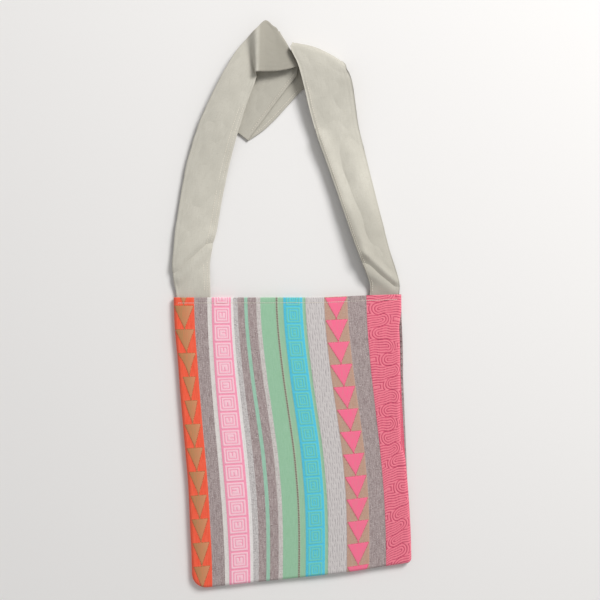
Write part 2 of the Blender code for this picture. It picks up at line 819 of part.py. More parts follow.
def make_tacks():
    """Make the box of stitches that holds each end of the strap, on top of the strap inside the mouth."""
    up = Vector((0, 0, 1))
    height = MIDDLE + STRAP_THICKNESS / 2 + THREAD_GAP + THREAD_HEIGHT / 2
    depth = -(STRAP_TAIL + HEM_WIDTH) / 2
    for name, side in (("strap_tack_left", -1), ("strap_tack_right", 1)):
        x = foot_values(side, 0.0)[0]
        across, down = TACK_WIDTH / 2, TACK_DEPTH / 2
        corners = [(-across, -down), (across, -down), (across, down), (-across, down)]
        points = [Vector((x + dx, depth + dy, height)) for dx, dy in corners]
        make_thread(name, points, [up] * 4, "E4DFD2", closed=True)


def centre_on_origin():
    """Move the finished bag so that the middle of its floor plan is the origin."""
    items = [item for item in bpy.data.objects if item.type == "MESH"]
    corners = [v.co for item in items for v in item.data.vertices]
    low = Vector([min(c[i] for c in corners) for i in range(3)])
    high = Vector([max(c[i] for c in corners) for i in range(3)])
    shift = Vector((-(low.x + high.x) / 2, -(low.y + high.y) / 2, -low.z))
    for item in items:
        for vertex in item.data.vertices:
            vertex.co += shift


def main():
    """Build the bag."""
    for item in list(bpy.data.objects):
        bpy.data.objects.remove(item, do_unlink=True)
    make_panel("front_panel", 1, True)
    make_panel("back_panel", -1, False)
    make_strap()
    make_strap_stitching()
    make_hem_stitching()
    make_seams()
    make_tacks()
    centre_on_origin()


main()
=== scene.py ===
"""Looks of the woven striped shoulder bag: striped cloth, canvas strap, stitching, floor, light and camera.

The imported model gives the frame: metres, +Z up, mouth and strap towards +Y, the bag lying on its back.
"""

import logging
import math
from dataclasses import dataclass, field
from enum import Enum

import bpy
import numpy as np
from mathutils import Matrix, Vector
from mathutils.geometry import delaunay_2d_cdt


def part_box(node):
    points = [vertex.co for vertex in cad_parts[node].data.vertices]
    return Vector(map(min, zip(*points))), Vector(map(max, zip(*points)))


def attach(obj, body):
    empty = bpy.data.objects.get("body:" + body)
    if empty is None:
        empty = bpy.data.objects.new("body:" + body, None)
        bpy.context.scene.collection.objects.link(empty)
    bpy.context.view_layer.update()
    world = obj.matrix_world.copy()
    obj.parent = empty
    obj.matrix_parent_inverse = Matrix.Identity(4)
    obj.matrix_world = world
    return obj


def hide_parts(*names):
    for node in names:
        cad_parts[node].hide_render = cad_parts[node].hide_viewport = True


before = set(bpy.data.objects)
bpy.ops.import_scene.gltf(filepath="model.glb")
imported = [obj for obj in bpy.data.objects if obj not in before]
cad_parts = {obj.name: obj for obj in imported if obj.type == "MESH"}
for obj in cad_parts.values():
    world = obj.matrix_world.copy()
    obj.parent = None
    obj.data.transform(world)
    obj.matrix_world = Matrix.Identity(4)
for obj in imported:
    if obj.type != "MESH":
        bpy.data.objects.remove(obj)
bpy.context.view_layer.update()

LOG = logging.getLogger("bag")
MM = 0.001
BODY = "root"
CLOTH_UV = "cloth_mm"
FIGURE = "figure_mm"
# Painted shade along the strap, with its greying towards the right end.
PAINTED_SHADE_AND_GREYING = "wear"
# The wave texture's bands lie this far apart at a scale of 1.
BAND_SPACING = math.pi / 10
# The depth written where nothing is woven in, past the reach of the painted groove shade.
NO_FIGURE = -2.0 * MM


def eased(value: np.ndarray, start: float, end: float) -> np.ndarray:
    """Ease from 0 at start to 1 at end, flat at both.

    Args:
        value: Where it is read.
        start: Value at which it leaves 0.
        end: Value at which it reaches 1, below start where it falls as the value grows.

    Returns:
        Shares from 0 to 1.
    """
    share = np.clip((value - start) / (end - start), 0.0, 1.0)
    return share * share * (3 - 2 * share)


def linear(hex_colour: str) -> tuple[float, float, float, float]:
    """Return the linear RGBA of an sRGB hex colour.

    Args:
        hex_colour: Six hex digits, without the hash sign.

    Returns:
        Red, green, blue and an alpha of 1.
    """
    channels = [int(hex_colour[i : i + 2], 16) / 255 for i in (0, 2, 4)]
    return (*[c / 12.92 if c < 0.04045 else ((c + 0.055) / 1.055) ** 2.4 for c in channels], 1.0)


def add_node(tree: bpy.types.NodeTree, kind: str, settings: dict | None = None, **inputs) -> bpy.types.Node:
    """Add a node, set its properties and fill its inputs.

    Args:
        tree: The tree that gets the node.
        kind: The node's bl_idname.
        settings: The node's own properties by name.
        **inputs: Each input by its identifier, spaces as underscores, or in_0, in_1 for its number. A
            socket is linked and anything else is set as the value.

    Returns:
        The new node.
    """
    node = tree.nodes.new(kind)
    for name, value in (settings or {}).items():
        setattr(node, name, value)
    for name, value in inputs.items():
        key = int(name[3:]) if name.startswith("in_") else name.replace("_", " ")
        socket = node.inputs[key]
        if isinstance(value, bpy.types.NodeSocket):
            tree.links.new(value, socket)
        else:
            socket.default_value = value
    return node


def new_material(name: str) -> tuple[bpy.types.Material, bpy.types.NodeTree, bpy.types.Node]:
    """Make a new material.

    Args:
        name: The material's name.

    Returns:
        The material, its tree and its Principled BSDF.
    """
    material = bpy.data.materials.new(name)
    material.use_nodes = True
    return material, material.node_tree, material.node_tree.nodes["Principled BSDF"]


def new_piece(
    name: str,
    vertices: np.ndarray,
    faces: list[tuple[int, ...]],
    materials: list[bpy.types.Material],
    slots: list[int] | None = None,
    sharp_angle: float = 60.0,
) -> bpy.types.Object:
    """Make one mesh object at the origin, smooth apart from its sharp edges.

    Args:
        name: The piece's name.
        vertices: Points, one row each.
        faces: Vertex numbers of each face, anticlockwise from outside.
        materials: The material slots.
        slots: The slot number of each face, or None for the first.
        sharp_angle: Angle in degrees past which an edge is drawn sharp.

    Returns:
        The linked object.
    """
    mesh = bpy.data.meshes.new(name)
    mesh.from_pydata([tuple(v) for v in vertices.tolist()], [], faces)
    for material in materials:
        mesh.materials.append(material)
    if slots is not None:
        mesh.polygons.foreach_set("material_index", slots)
    mesh.shade_smooth()
    mesh.set_sharp_from_angle(angle=math.radians(sharp_angle))
    mesh.update()
    piece = bpy.data.objects.new(name, mesh)
    bpy.context.scene.collection.objects.link(piece)
    return piece


def write_uv(mesh: bpy.types.Mesh, name: str, across: np.ndarray, along: np.ndarray) -> None:
    """Write a UV map from one pair of values per vertex.

    Args:
        mesh: The mesh that gets the map.
        name: The map's name.
        across: First coordinate of each vertex.
        along: Second coordinate of each vertex.
    """
    corners = np.zeros(len(mesh.loops), dtype=np.int32)
    mesh.loops.foreach_get("vertex_index", corners)
    pairs = np.stack([across[corners], along[corners]], axis=1)
    mesh.uv_layers.new(name=name).data.foreach_set("uv", pairs.astype(np.float32).ravel())


def write_values(mesh: bpy.types.Mesh, name: str, values: np.ndarray) -> None:
    """Write one float per vertex as a named attribute."""
    mesh.attributes.new(name, "FLOAT", "POINT").data.foreach_set("value", values.astype(np.float32))


class Figure(Enum):
    """What is woven into a stripe."""

    PLAIN = "plain"
    TWIST = "twist"
    TRIANGLES = "triangles"
    KEY = "key"
    RIBS = "ribs"
    MEANDER = "meander"


def stained(
    tree: bpy.types.NodeTree,
    colour: object,
    stain: object,
    pattern: bpy.types.NodeSocket,
    limits: tuple[float, float],
    strength: float,
) -> bpy.types.NodeSocket:
    """Lay a second colour over the first where a pattern is strong.

    Args:
        tree: The material's tree.
        colour: The colour so far, a socket or a linear RGBA.
        stain: The colour laid over it, a socket or a linear RGBA.
        pattern: The pattern.
        limits: The pattern's values between which the stain grows from nothing to its strength.
        strength: The stain's share at most.

    Returns:
        The new colour.
    """
    share = add_node(tree, "ShaderNodeMapRange", Value=pattern, in_1=limits[0], in_2=limits[1], in_4=strength)
    mix = add_node(
        tree, "ShaderNodeMix", {"data_type": "RGBA"}, in_0=share.outputs["Result"], in_6=colour, in_7=stain
    )
    return mix.outputs[2]


def grains(
    tree: bpy.types.NodeTree, cloth: bpy.types.NodeSocket, size: tuple[float, float], detail: float = 2.0
) -> bpy.types.NodeSocket:
    """Scatter soft grains over the cloth.

    Args:
        tree: The material's tree.
        cloth: The cloth coordinates, in millimetres.
        size: A grain's size across and along the cloth, in millimetres.
        detail: How many finer layers lie on the grains.

    Returns:
        Noise, mostly between 0.3 and 0.7.
    """
    scaled = add_node(tree, "ShaderNodeMapping", Vector=cloth, Scale=(1 / size[0], 1 / size[1], 1.0))
    noise = add_node(tree, "ShaderNodeTexNoise", Vector=scaled.outputs["Vector"], Scale=1.0, Detail=detail)
    return noise.outputs["Fac"]


def over_and_under(
    tree: bpy.types.NodeTree, cloth: bpy.types.NodeSocket, thread: float, height: float
) -> bpy.types.NodeSocket:
    """Return the normal of a plain weave.

    Args:
        tree: The material's tree.
        cloth: The cloth coordinates, in millimetres.
        thread: Spacing of the threads in millimetres.
        height: How far a thread stands up, in metres.

    Returns:
        The normal's socket.
    """
    waves = [
        add_node(
            tree,
            "ShaderNodeTexWave",
            {"bands_direction": way},
            Vector=cloth,
            Scale=BAND_SPACING / thread,
            Distortion=0.5,
        ).outputs["Fac"]
        for way in ("X", "Y")
    ]
    weave = add_node(tree, "ShaderNodeMath", {"operation": "MULTIPLY"}, in_0=waves[0], in_1=waves[1])
    bump = add_node(tree, "ShaderNodeBump", Strength=0.6, Distance=height, Height=weave.outputs["Value"])
    return bump.outputs["Normal"]


@dataclass(frozen=True)
class WovenCotton:
    """Cotton yarn in a hand-loomed stripe: matt, a little hairy, its threads uneven in colour and thickness.

    The eye sees faint streaks that run along the warp, short slubs and specks across it, and a soft sheen at
    low angles. The real threads are about 0.6 mm apart and are drawn 1.1 mm apart, so that they show. Colours
    are sRGB hex values, and sizes in the cloth are millimetres across and along it.
    """

    name: str
    ground: str
    streak: str
    dark: str = ""
    pale: str = ""
    uneven: float = 0.35
    figure: str = ""
    figure_far: str = ""
    outline: str = ""
    painted_groove_shade: str = ""
    fade: tuple[float, float] = (0.0, 1.0)
    streak_share: float = 0.6
    streak_limits: tuple[float, float] = (0.36, 0.64)
    warp_streak: tuple[float, float] = (1.5, 15.0)
    slubs: tuple[tuple[float, float], ...] = ((7.0, 1.1), (1.2, 4.5))
    speck: tuple[float, float] = (1.5, 1.3)
    thread: float = 1.1
    edge_softness: float = 0.28

    def dress(self) -> bpy.types.Material:
        """Make the material.

        Returns:
            The material.
        """
        material, tree, shader = new_material(self.name)
        cloth = add_node(tree, "ShaderNodeUVMap", {"uv_map": CLOTH_UV}).outputs["UV"]
        warp = grains(tree, cloth, self.warp_streak, 3.0)
        ground, streak = linear(self.ground), linear(self.streak)
        colour = stained(tree, ground, streak, warp, self.streak_limits, self.streak_share)
        if self.dark:
            for size in self.slubs:
                noise = grains(tree, cloth, size)
                colour = stained(tree, colour, linear(self.dark), noise, (0.55, 0.72), self.uneven)
        if self.pale:
            noise = grains(tree, cloth, self.speck, 1.0)
            colour = stained(tree, colour, linear(self.pale), noise, (0.58, 0.74), self.uneven * 1.3)
        if self.figure:
            colour = self.with_figure(tree, cloth, warp, colour)
        tree.links.new(colour, shader.inputs["Base Color"])
        rough = add_node(tree, "ShaderNodeMapRange", Value=warp, in_1=0.3, in_2=0.7, in_3=0.8, in_4=0.95)
        tree.links.new(rough.outputs["Result"], shader.inputs["Roughness"])
        shader.inputs["Specular IOR Level"].default_value = 0.28
        shader.inputs["Sheen Weight"].default_value = 0.1
        shader.inputs["Sheen Roughness"].default_value = 0.5
        tree.links.new(over_and_under(tree, cloth, self.thread, 0.28 * MM), shader.inputs["Normal"])
        return material

    def with_figure(
        self,
        tree: bpy.types.NodeTree,
        cloth: bpy.types.NodeSocket,
        warp: bpy.types.NodeSocket,
        ground: bpy.types.NodeSocket,
    ) -> bpy.types.NodeSocket:
        """Lay the woven figure over the ground.

        Args:
            tree: The material's tree.
            cloth: The cloth coordinates, in millimetres.
            warp: The warp's streaks.
            ground: The ground's colour.

        Returns:
            The colour with the figure in it.
        """
        depth = add_node(tree, "ShaderNodeAttribute", {"attribute_name": FIGURE}).outputs["Fac"]
        across = add_node(tree, "ShaderNodeSeparateXYZ", Vector=cloth).outputs["X"]
        far = linear(self.figure_far or self.figure)
        inlay = stained(tree, linear(self.figure), far, across, self.fade, 1.0)
        inlay = stained(tree, inlay, linear(self.streak), warp, self.streak_limits, 0.35 * self.streak_share)
        colour = ground
        # Painted shade in the grooves just beside the raised figure; further out the ground colour comes back.
        if self.painted_groove_shade:
            colour = stained(tree, colour, linear(self.painted_groove_shade), depth, (-0.1, -0.8), 0.9)
            colour = stained(tree, colour, ground, depth, (-1.3, -1.9), 1.0)
        colour = stained(tree, colour, inlay, depth, (-self.edge_softness, self.edge_softness), 1.0)
        if self.outline:
            distance = add_node(tree, "ShaderNodeMath", {"operation": "ABSOLUTE"}, in_0=depth)
            near = distance.outputs["Value"]
            lined = stained(tree, colour, linear(self.outline), near, (0.75, 0.1), 0.8)
            colour = stained(tree, colour, lined, grains(tree, cloth, (1.6, 1.6), 1.0), (0.38, 0.55), 1.0)
        return colour


# Greyish taupe, the most uneven of the yarns, with dark slubs and pale flecks.
TAUPE = WovenCotton(
    "plain_weave_cotton_taupe", "B4A5A3", "988786", "706462", "DFD6D4", uneven=0.62, streak_share=0.95
)
STRIPED_COTTON = {
    # Smooth bright orange with ochre triangles that pale to the right, edged in brown.
    "orange": WovenCotton(
        "satin_cotton_orange",
        ground="F65A3D",
        streak="FF7559",
        dark="C8452E",
        uneven=0.15,
        figure="AC8254",
        figure_far="D3966C",
        outline="8A5A32",
        fade=(6.0, 24.0),
    ),
    # A calm cream line with faint grey slubs.
    "cream": WovenCotton("plain_weave_cotton_cream", "E8E3DE", "DAD4CF", "B9B1AC", "F6F3F0", uneven=0.4),
    # Candy pink with nested squares in a paler pink.
    "pink": WovenCotton(
        "figured_cotton_pink",
        ground="FC9AB7",
        streak="FFAAC2",
        dark="E88AA7",
        pale="FFE9EF",
        uneven=0.22,
        figure="FFD8E1",
        figure_far="FFD0DB",
        streak_share=0.4,
    ),
    # A clean white line, barely streaked.
    "white": WovenCotton("plain_weave_cotton_white", "EEEAE7", "E0DBD7", "C0BAB6", "FAF8F6", uneven=0.35),
    # White and grey threads mixed, strongly flecked.
    "light_grey": WovenCotton(
        "plain_weave_cotton_light_grey", "CFCAC8", "B5AFAE", "888180", "F0EDEB", uneven=0.75
    ),
    # A narrow line of soft mint.
    "mint": WovenCotton("plain_weave_cotton_mint", "A2CDB6", "93BFA6", "7FA893", "C3E2D0", uneven=0.2),
    # Cream broken up by grey slubs.
    "cream_grey": WovenCotton(
        "plain_weave_cotton_cream_grey", "D6D0CC", "BDB6B1", "938B87", "F1EEEB", uneven=0.55
    ),
    # Even, soft leaf green.
    "green": WovenCotton(
        "plain_weave_cotton_green", "97C4A1", "A5CDB0", "84B092", "BADBC2", uneven=0.22, streak_share=0.5
    ),
    # Pale green under dark brown dots, as of two yarns twisted together.
    "brown": WovenCotton(
        "twisted_cotton_brown", "B5C0A8", "A3AF98", uneven=0.3, figure="74625A", figure_far="7E6D66"
    ),
    # Clear aqua with nested squares in sea green.
    "aqua": WovenCotton(
        "figured_cotton_aqua",
        ground="55C6E2",
        streak="5ECDE8",
        dark="3FA9C6",
        pale="97E2EE",
        uneven=0.3,
        figure="6CCDC6",
        figure_far="70CDC0",
        streak_share=0.4,
    ),
    # Grey with a hint of lilac, in pale ribs, with painted shade in the grooves between them.
    "lilac": WovenCotton(
        "ribbed_cotton_lilac_grey",
        ground="B5AEAF",
        streak="C6BFBF",
        dark="8C8586",
        pale="E9E5E4",
        uneven=0.3,
        figure="D8D2D1",
        figure_far="D2CCCA",
        painted_groove_shade="968F90",
    ),
    # Warm tan with hot pink triangles, edged in a darker pink.
    "tan": WovenCotton(
        "satin_cotton_tan",
        ground="C49A86",
        streak="BDA493",
        dark="A57F6D",
        pale="DDBFAE",
        uneven=0.4,
        figure="FF6890",
        figure_far="FF7097",
        outline="C43F5E",
    ),
    # Coral with winding lines in a paler coral, with painted shade in the grooves between them.
    "coral": WovenCotton(
        "figured_cotton_coral",
        ground="E0607B",
        streak="DA5874",
        dark="AC4059",
        pale="FDACB6",
        uneven=0.25,
        figure="F78F9E",
        figure_far="F48898",
        painted_groove_shade="AC3F5A",
    ),
}


@dataclass(frozen=True)
class Stripe:
    """One stripe of the cloth: its width, its yarn, what is woven into it and how close its columns stand."""

    width: float
    yarn: WovenCotton
    raised: bool = False
    figure: Figure = Figure.PLAIN
    start: float = 0.0
    margin: float = 0.0
    column: float = 2.2 * MM


# From left to right. The last stripe takes what is left of the cloth.
STRIPES = (
    Stripe(0.0286, STRIPED_COTTON["orange"], True, Figure.TRIANGLES, 0.0115, 0.0008, 1.0 * MM),
    Stripe(0.0178, TAUPE),
    Stripe(0.0060, STRIPED_COTTON["cream"]),
    Stripe(0.0288, STRIPED_COTTON["pink"], True, Figure.KEY, 0.0008, 0.0030, 0.9 * MM),
    Stripe(0.0041, STRIPED_COTTON["white"]),
    Stripe(0.0071, STRIPED_COTTON["light_grey"]),
    Stripe(0.0104, TAUPE),
    Stripe(0.0049, STRIPED_COTTON["mint"]),
    Stripe(0.0120, TAUPE),
    Stripe(0.0059, STRIPED_COTTON["cream_grey"]),
    Stripe(0.0210, STRIPED_COTTON["green"]),
    Stripe(0.0031, STRIPED_COTTON["brown"], False, Figure.TWIST, 0.0, 0.0, 1.0 * MM),
    Stripe(0.0077, STRIPED_COTTON["green"]),
    Stripe(0.0265, STRIPED_COTTON["aqua"], True, Figure.KEY, 0.0008, 0.0036, 0.9 * MM),
    Stripe(0.0042, STRIPED_COTTON["green"]),
    Stripe(0.0263, STRIPED_COTTON["lilac"], True, Figure.RIBS, 0.0, 0.0, 1.0 * MM),
    Stripe(0.0314, STRIPED_COTTON["tan"], True, Figure.TRIANGLES, 0.0010, 0.0006, 1.0 * MM),
    Stripe(0.0235, TAUPE),
    Stripe(1.0, STRIPED_COTTON["coral"], True, Figure.MEANDER, 0.0, 0.0, 0.95 * MM),
)
# The back ends in plain taupe, the narrow strip that shows past the front's right edge.
CORAL_ON_BACK = 0.025
BACK_STRIPES = STRIPES[:-1] + (
    Stripe(CORAL_ON_BACK, STRIPED_COTTON["coral"], True, Figure.MEANDER, 0.0, 0.0, 0.95 * MM),
    Stripe(1.0, TAUPE),
)


@dataclass(frozen=True)
class Body:
    """The bag body's cloth plane, s across from the left seam and t down from the mouth, and how it lies."""

    width: float = 0.316
    depth: float = 0.406
    cloth: float = 0.0013
    loft: float = 0.009
    edge_roll: float = 0.005
    hem: float = 0.010
    hem_stitching: float = 7.8 * MM
    seam_gap: float = 0.0003
    lean: float = 0.0245
    slant: float = 0.034
    mouth_rise: float = 0.0042
    right_roll: float = 0.0105
    left_corner: float = 0.022
    right_corner: float = 0.0065
    drift_up: float = 0.0058
    drift_down: float = 0.0045

    @property
    def middle(self) -> float:
        """Return the height of the seam, halfway up the bag."""
        return self.cloth + self.loft / 2

    @property
    def origin(self) -> tuple[float, float]:
        """Return where the mouth's centre is on the floor plan."""
        low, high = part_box("front_panel")
        return low.x + self.width / 2, high.y - self.mouth_rise

    @property
    def bottom_end(self) -> float:
        """Return how far across the bottom's straight stretch reaches."""
        return self.width - self.right_roll - 2 * self.right_corner

    def straight_right(self, t: np.ndarray) -> np.ndarray:
        """Return the right edge at depth t as if its bottom corner were square."""
        return self.width - self.right_roll * eased(t, 0.15 * self.depth, 0.60 * self.depth)

    def right_edge(self, t: np.ndarray) -> np.ndarray:
        """Return how far across the cloth shows at depth t, before it rolls under at the right."""
        return self.straight_right(t) - self.corner_inset(t, self.right_corner)

    def left_edge(self, t: np.ndarray) -> np.ndarray:
        """Return how far in the left edge lies at depth t, past 0 only at the rounded corner."""
        return self.corner_inset(t, self.left_corner)

    def corner_inset(self, t: np.ndarray, radius: float) -> np.ndarray:
        """Return how far a bottom corner of that radius moves the edge in at depth t."""
        past = np.clip(t - (self.depth - radius), 0.0, radius)
        return radius - np.sqrt(np.maximum(radius**2 - past**2, 0.0))

    def seam_distance(self, s: np.ndarray, t: np.ndarray) -> np.ndarray:
        """Return the distance from the seamed edge.

        Args:
            s: Places across.
            t: Depths.

        Returns:
            Distances in metres, 0 on the edge.
        """
        far = self.straight_right(t)
        distance = np.minimum(np.minimum(s, far - s), self.depth - t)
        for radius, centre, side in (
            (self.left_corner, self.left_corner, 1),
            (self.right_corner, far - self.right_corner, -1),
        ):
            in_corner = (t > self.depth - radius) & ((centre - s) * side > 0)
            round_distance = radius - np.hypot(s - centre, t - (self.depth - radius))
            distance = np.where(in_corner, round_distance, distance)
        return np.clip(distance, 0.0, None)

    def place(self, s: np.ndarray, t: np.ndarray) -> tuple[np.ndarray, np.ndarray]:
        """Carry points of the cloth to the floor plan.

        Args:
            s: Places across.
            t: Depths.

        Returns:
            The x and the y of each point.
        """
        x0, y0 = self.origin
        x = x0 + s - self.width / 2 + self.lean * eased(t, 0.0, self.depth) + self.drift(s, t)
        shorten = 1 - self.slant / self.depth * s / self.width
        y = y0 + self.mouth_rise * eased(s, 0.6 * self.width, self.width) - t * shorten
        return x, y

    def drift(self, s: np.ndarray, t: np.ndarray) -> np.ndarray:
        """Say how far loose cloth has slid across: to the left at the mouth and to the right lower down.

        Args:
            s: Places across.
            t: Depths.

        Returns:
            Distances in metres, to the right.
        """
        inner = eased(s, 0.06, 0.11) * eased(s, 0.30, 0.23)
        upper = -self.drift_up * eased(t, 0.16, 0.0)
        lower = self.drift_down * eased(t, 0.11, 0.24) * (1 - 0.85 * eased(t, 0.27, 0.42))
        left_edge = 1.8 * MM * eased(t, 0.04, 0.10) * eased(t, 0.33, 0.25) - 1.0 * MM * eased(t, 0.07, 0.0)
        return inner * (upper + lower) + eased(s, 0.06, 0.0) * left_edge

    def wall(self, t: np.ndarray) -> np.ndarray:
        """Return the panel's thickness at depth t, doubled where the hem is turned in."""
        return self.cloth * (2 - np.clip((t - self.hem) / (0.6 * MM), 0.0, 1.0))


@dataclass(frozen=True)
class Weave:
    """The stripes' places across the cloth and the figures woven into them."""

    body: Body
    stripes: tuple[Stripe, ...]
    band_rise: float = 0.4 * MM
    figure_rise: float = 0.45 * MM
    ramp: float = 0.7 * MM
    triangle_pitch: float = 33.0 * MM
    triangle_tip: float = 1.5 * MM
    tail_width: float = 1.3 * MM
    triangle_step: float = 2.5 * MM
    narrowing: float = 4.2 * MM
    key_pitch: float = 24.7 * MM
    key_height: float = 22.0 * MM
    ring_pitch: float = 3.7 * MM
    ring_line: float = 2.3 * MM
    hook_line: float = 1.3 * MM
    rib_pitch: float = 3.1 * MM
    rib_line: float = 2.0 * MM
    twist_pitch: float = 3.3 * MM
    meander_row: float = 19.6 * MM
    meander_pitch: float = 3.7 * MM
    meander_line: float = 2.1 * MM

    def edges(self) -> list[float]:
        """Lay the stripes side by side, the last one taking what is left.

        Returns:
            The stripes' limits across the cloth.
        """
        found = [0.0]
        for stripe in self.stripes:
            found.append(min(found[-1] + stripe.width, self.body.width))
        return found

    def triangles(
        self, stripe: Stripe, left: float, right: float, s: np.ndarray, t: np.ndarray
    ) -> np.ndarray:
        """Return how far points lie inside the stripe's downward triangles.

        Args:
            stripe: The stripe, whose start is the first base's depth.
            left: The stripe's left limit.
            right: The stripe's right limit.
            s: Places across.
            t: Depths.

        Returns:
            Metres inside a triangle, negative outside.
        """
        share = t / self.body.depth
        tight = eased(share, 0.17, 0.25) * (1 - 0.55 * eased(share, 0.34, 0.44)) if left == 0 else 0.0
        middle = (left + right) / 2 + 0.25 * self.narrowing * tight
        half = (right - left) / 2 - stripe.margin - self.narrowing * tight
        height = self.triangle_pitch - self.triangle_tip
        slope = np.hypot(half, height)
        below = np.mod(t - stripe.start, self.triangle_pitch)
        stepped = (np.floor(below / self.triangle_step) + 0.5) * self.triangle_step
        inside = np.full_like(s, -1.0)
        for down, step in ((below, stepped), (below - self.triangle_pitch, stepped - self.triangle_pitch)):
            side = (half * (height - step) - height * np.abs(s - middle)) / slope
            inside = np.maximum(inside, np.minimum(down, side))
        tail = np.minimum(self.tail_width / 2 - np.abs(s - middle), below - height + 2 * self.triangle_tip)
        return np.maximum(inside, tail)

    def key(self, stripe: Stripe, left: float, right: float, s: np.ndarray, t: np.ndarray) -> np.ndarray:
        """Return how far points lie inside the lines of the stripe's nested squares.

        Args:
            stripe: The stripe, whose start is the first square's centre.
            left: The stripe's left limit.
            right: The stripe's right limit.
            s: Places across.
            t: Depths.

        Returns:
            Metres inside a line, negative between lines.
        """
        half = (right - left) / 2 - stripe.margin
        place = (t - stripe.start) / self.key_pitch + 0.5
        number = np.floor(place)
        down = (place - number - 0.5) * self.key_pitch
        across = s - (left + right) / 2
        depth = np.minimum(half - np.abs(across), self.key_height / 2 - np.abs(down))
        ring = np.mod(depth, self.ring_pitch)
        line = np.minimum(ring, self.ring_line - ring)
        gap = -np.minimum(ring - self.ring_line, self.ring_pitch - ring)
        rings = np.where(depth < 0, depth, np.where(ring < self.ring_line, line, gap))
        turned = np.where(np.mod(number, 2) < 0.5, 1.0, -1.0)
        upright = np.mod(number, 3) < 1.5
        beside, toward = np.where(upright, across, down), np.where(upright, down, across) * turned
        hook = np.maximum(np.abs(beside) - self.hook_line / 2, -toward - self.hook_line)
        return np.where(depth > 2 * self.ring_pitch, hook, rings)

    def ribs(self, left: float, s: np.ndarray, t: np.ndarray) -> np.ndarray:
        """Return how far points lie inside the lengthwise ribs, which lean at the top and waver lower down.

        Args:
            left: The stripe's left limit.
            s: Places across.
            t: Depths.

        Returns:
            Metres inside a rib, negative between ribs.
        """
        share = t / self.body.depth
        lean = 0.045 * (1 - eased(share, 0.0, 1 / 2.2)) * share + 0.011 * (1 - share) ** 2
        lean = lean + 0.8 * MM * np.sin(t / (4.1 * MM)) * np.sin(s / (2.9 * MM) + t / (31 * MM))
        number, place = np.divmod(s - left - lean, self.rib_pitch)
        thicker = 0.7 * MM * (np.sin(t / (3.6 * MM) + 2.1 * number) > 0.8)
        return self.rib_line / 2 - np.abs(place - self.rib_pitch / 2) + thicker

    def twist(self, left: float, right: float, s: np.ndarray, t: np.ndarray) -> np.ndarray:
        """Return how far points lie inside the dots of a dark yarn twisted with a pale one.

        Args:
            left: The stripe's left limit.
            right: The stripe's right limit.
            s: Places across.
            t: Depths.

        Returns:
            Metres inside a dot, negative between dots.
        """
        along = np.abs(np.mod(t + 0.4 * (s - left), self.twist_pitch) - self.twist_pitch / 2)
        across = np.abs(s - (left + right) / 2)
        return np.minimum(0.37 * self.twist_pitch - along, (right - left) / 2 - 0.4 * MM - across)

    def meander(self, left: float, s: np.ndarray, t: np.ndarray) -> np.ndarray:
        """Return how far points lie inside the lines that wind round rows of hairpins.

        Args:
            left: The stripe's left limit.
            s: Places across.
            t: Depths.

        Returns:
            Metres inside a line, negative between lines.
        """
        width = self.body.width - left
        skew = t + (s - left) * (0.03 + 0.32 * (t / self.body.depth) ** 1.5)
        skew = skew + 1.5 * MM * np.sin(s / (8 * MM) + t / (17 * MM)) + 0.5 * MM * np.sin(s / (2.7 * MM))
        first = np.floor(skew / self.meander_row)
        nearest = np.full_like(s, 1.0)
        for offset in (-1, 0, 1, 2):
            row = first + offset
            even = np.mod(row, 2) < 0.5
            reach = 0.56 + 0.16 * np.sin(2.4 * row)
            past = np.where(even, s - left - reach * width, left + (1 - reach) * width - s)
            nearest = np.minimum(nearest, np.hypot(np.maximum(past, 0.0), skew - row * self.meander_row))
        away = np.abs(np.mod(nearest / self.meander_pitch + 0.5, 1.0) - 0.5) * self.meander_pitch
        return self.meander_line / 2 - away

    def figure(self, s: np.ndarray, t: np.ndarray) -> np.ndarray:
        """Return how far each point lies inside its stripe's figure.

        Args:
            s: Places across.
            t: Depths.

        Returns:
            Metres inside the figure, negative outside or where there is none.
        """
        depth = np.full_like(s, NO_FIGURE)
        edges = self.edges()
        for stripe, left, right in zip(self.stripes, edges, edges[1:]):
            if stripe.figure is Figure.PLAIN:
                continue
            if stripe.figure is Figure.TRIANGLES:
                found = self.triangles(stripe, left, right, s, t)
            elif stripe.figure is Figure.KEY:
                found = self.key(stripe, left, right, s, t)
            elif stripe.figure is Figure.TWIST:
                found = self.twist(left, right, s, t)
            elif stripe.figure is Figure.RIBS:
                found = self.ribs(left, s, t)
            else:
                found = self.meander(left, s, t)
            depth = np.where((s >= left) & (s <= right), found, depth)
        return depth

    def relief(self, s: np.ndarray, t: np.ndarray) -> np.ndarray:
        """Return how far the weave stands above the plain cloth.

        Args:
            s: Places across.
            t: Depths.

        Returns:
            Heights in metres.
        """
        height = np.zeros_like(s)
        edges = self.edges()
        for stripe, left, right in zip(self.stripes, edges, edges[1:]):
            if stripe.raised:
                far = right + (1.0 if right >= self.body.width else 0.0)
                height = height + self.band_rise * eased(np.minimum(s - left, far - s), 0.0, self.ramp)
        return height + self.figure_rise * eased(self.figure(s, t), -self.ramp / 2, self.ramp / 2)


class Side(Enum):
    """Which way a panel faces as the bag lies on its back."""

    FRONT = 1
    BACK = -1


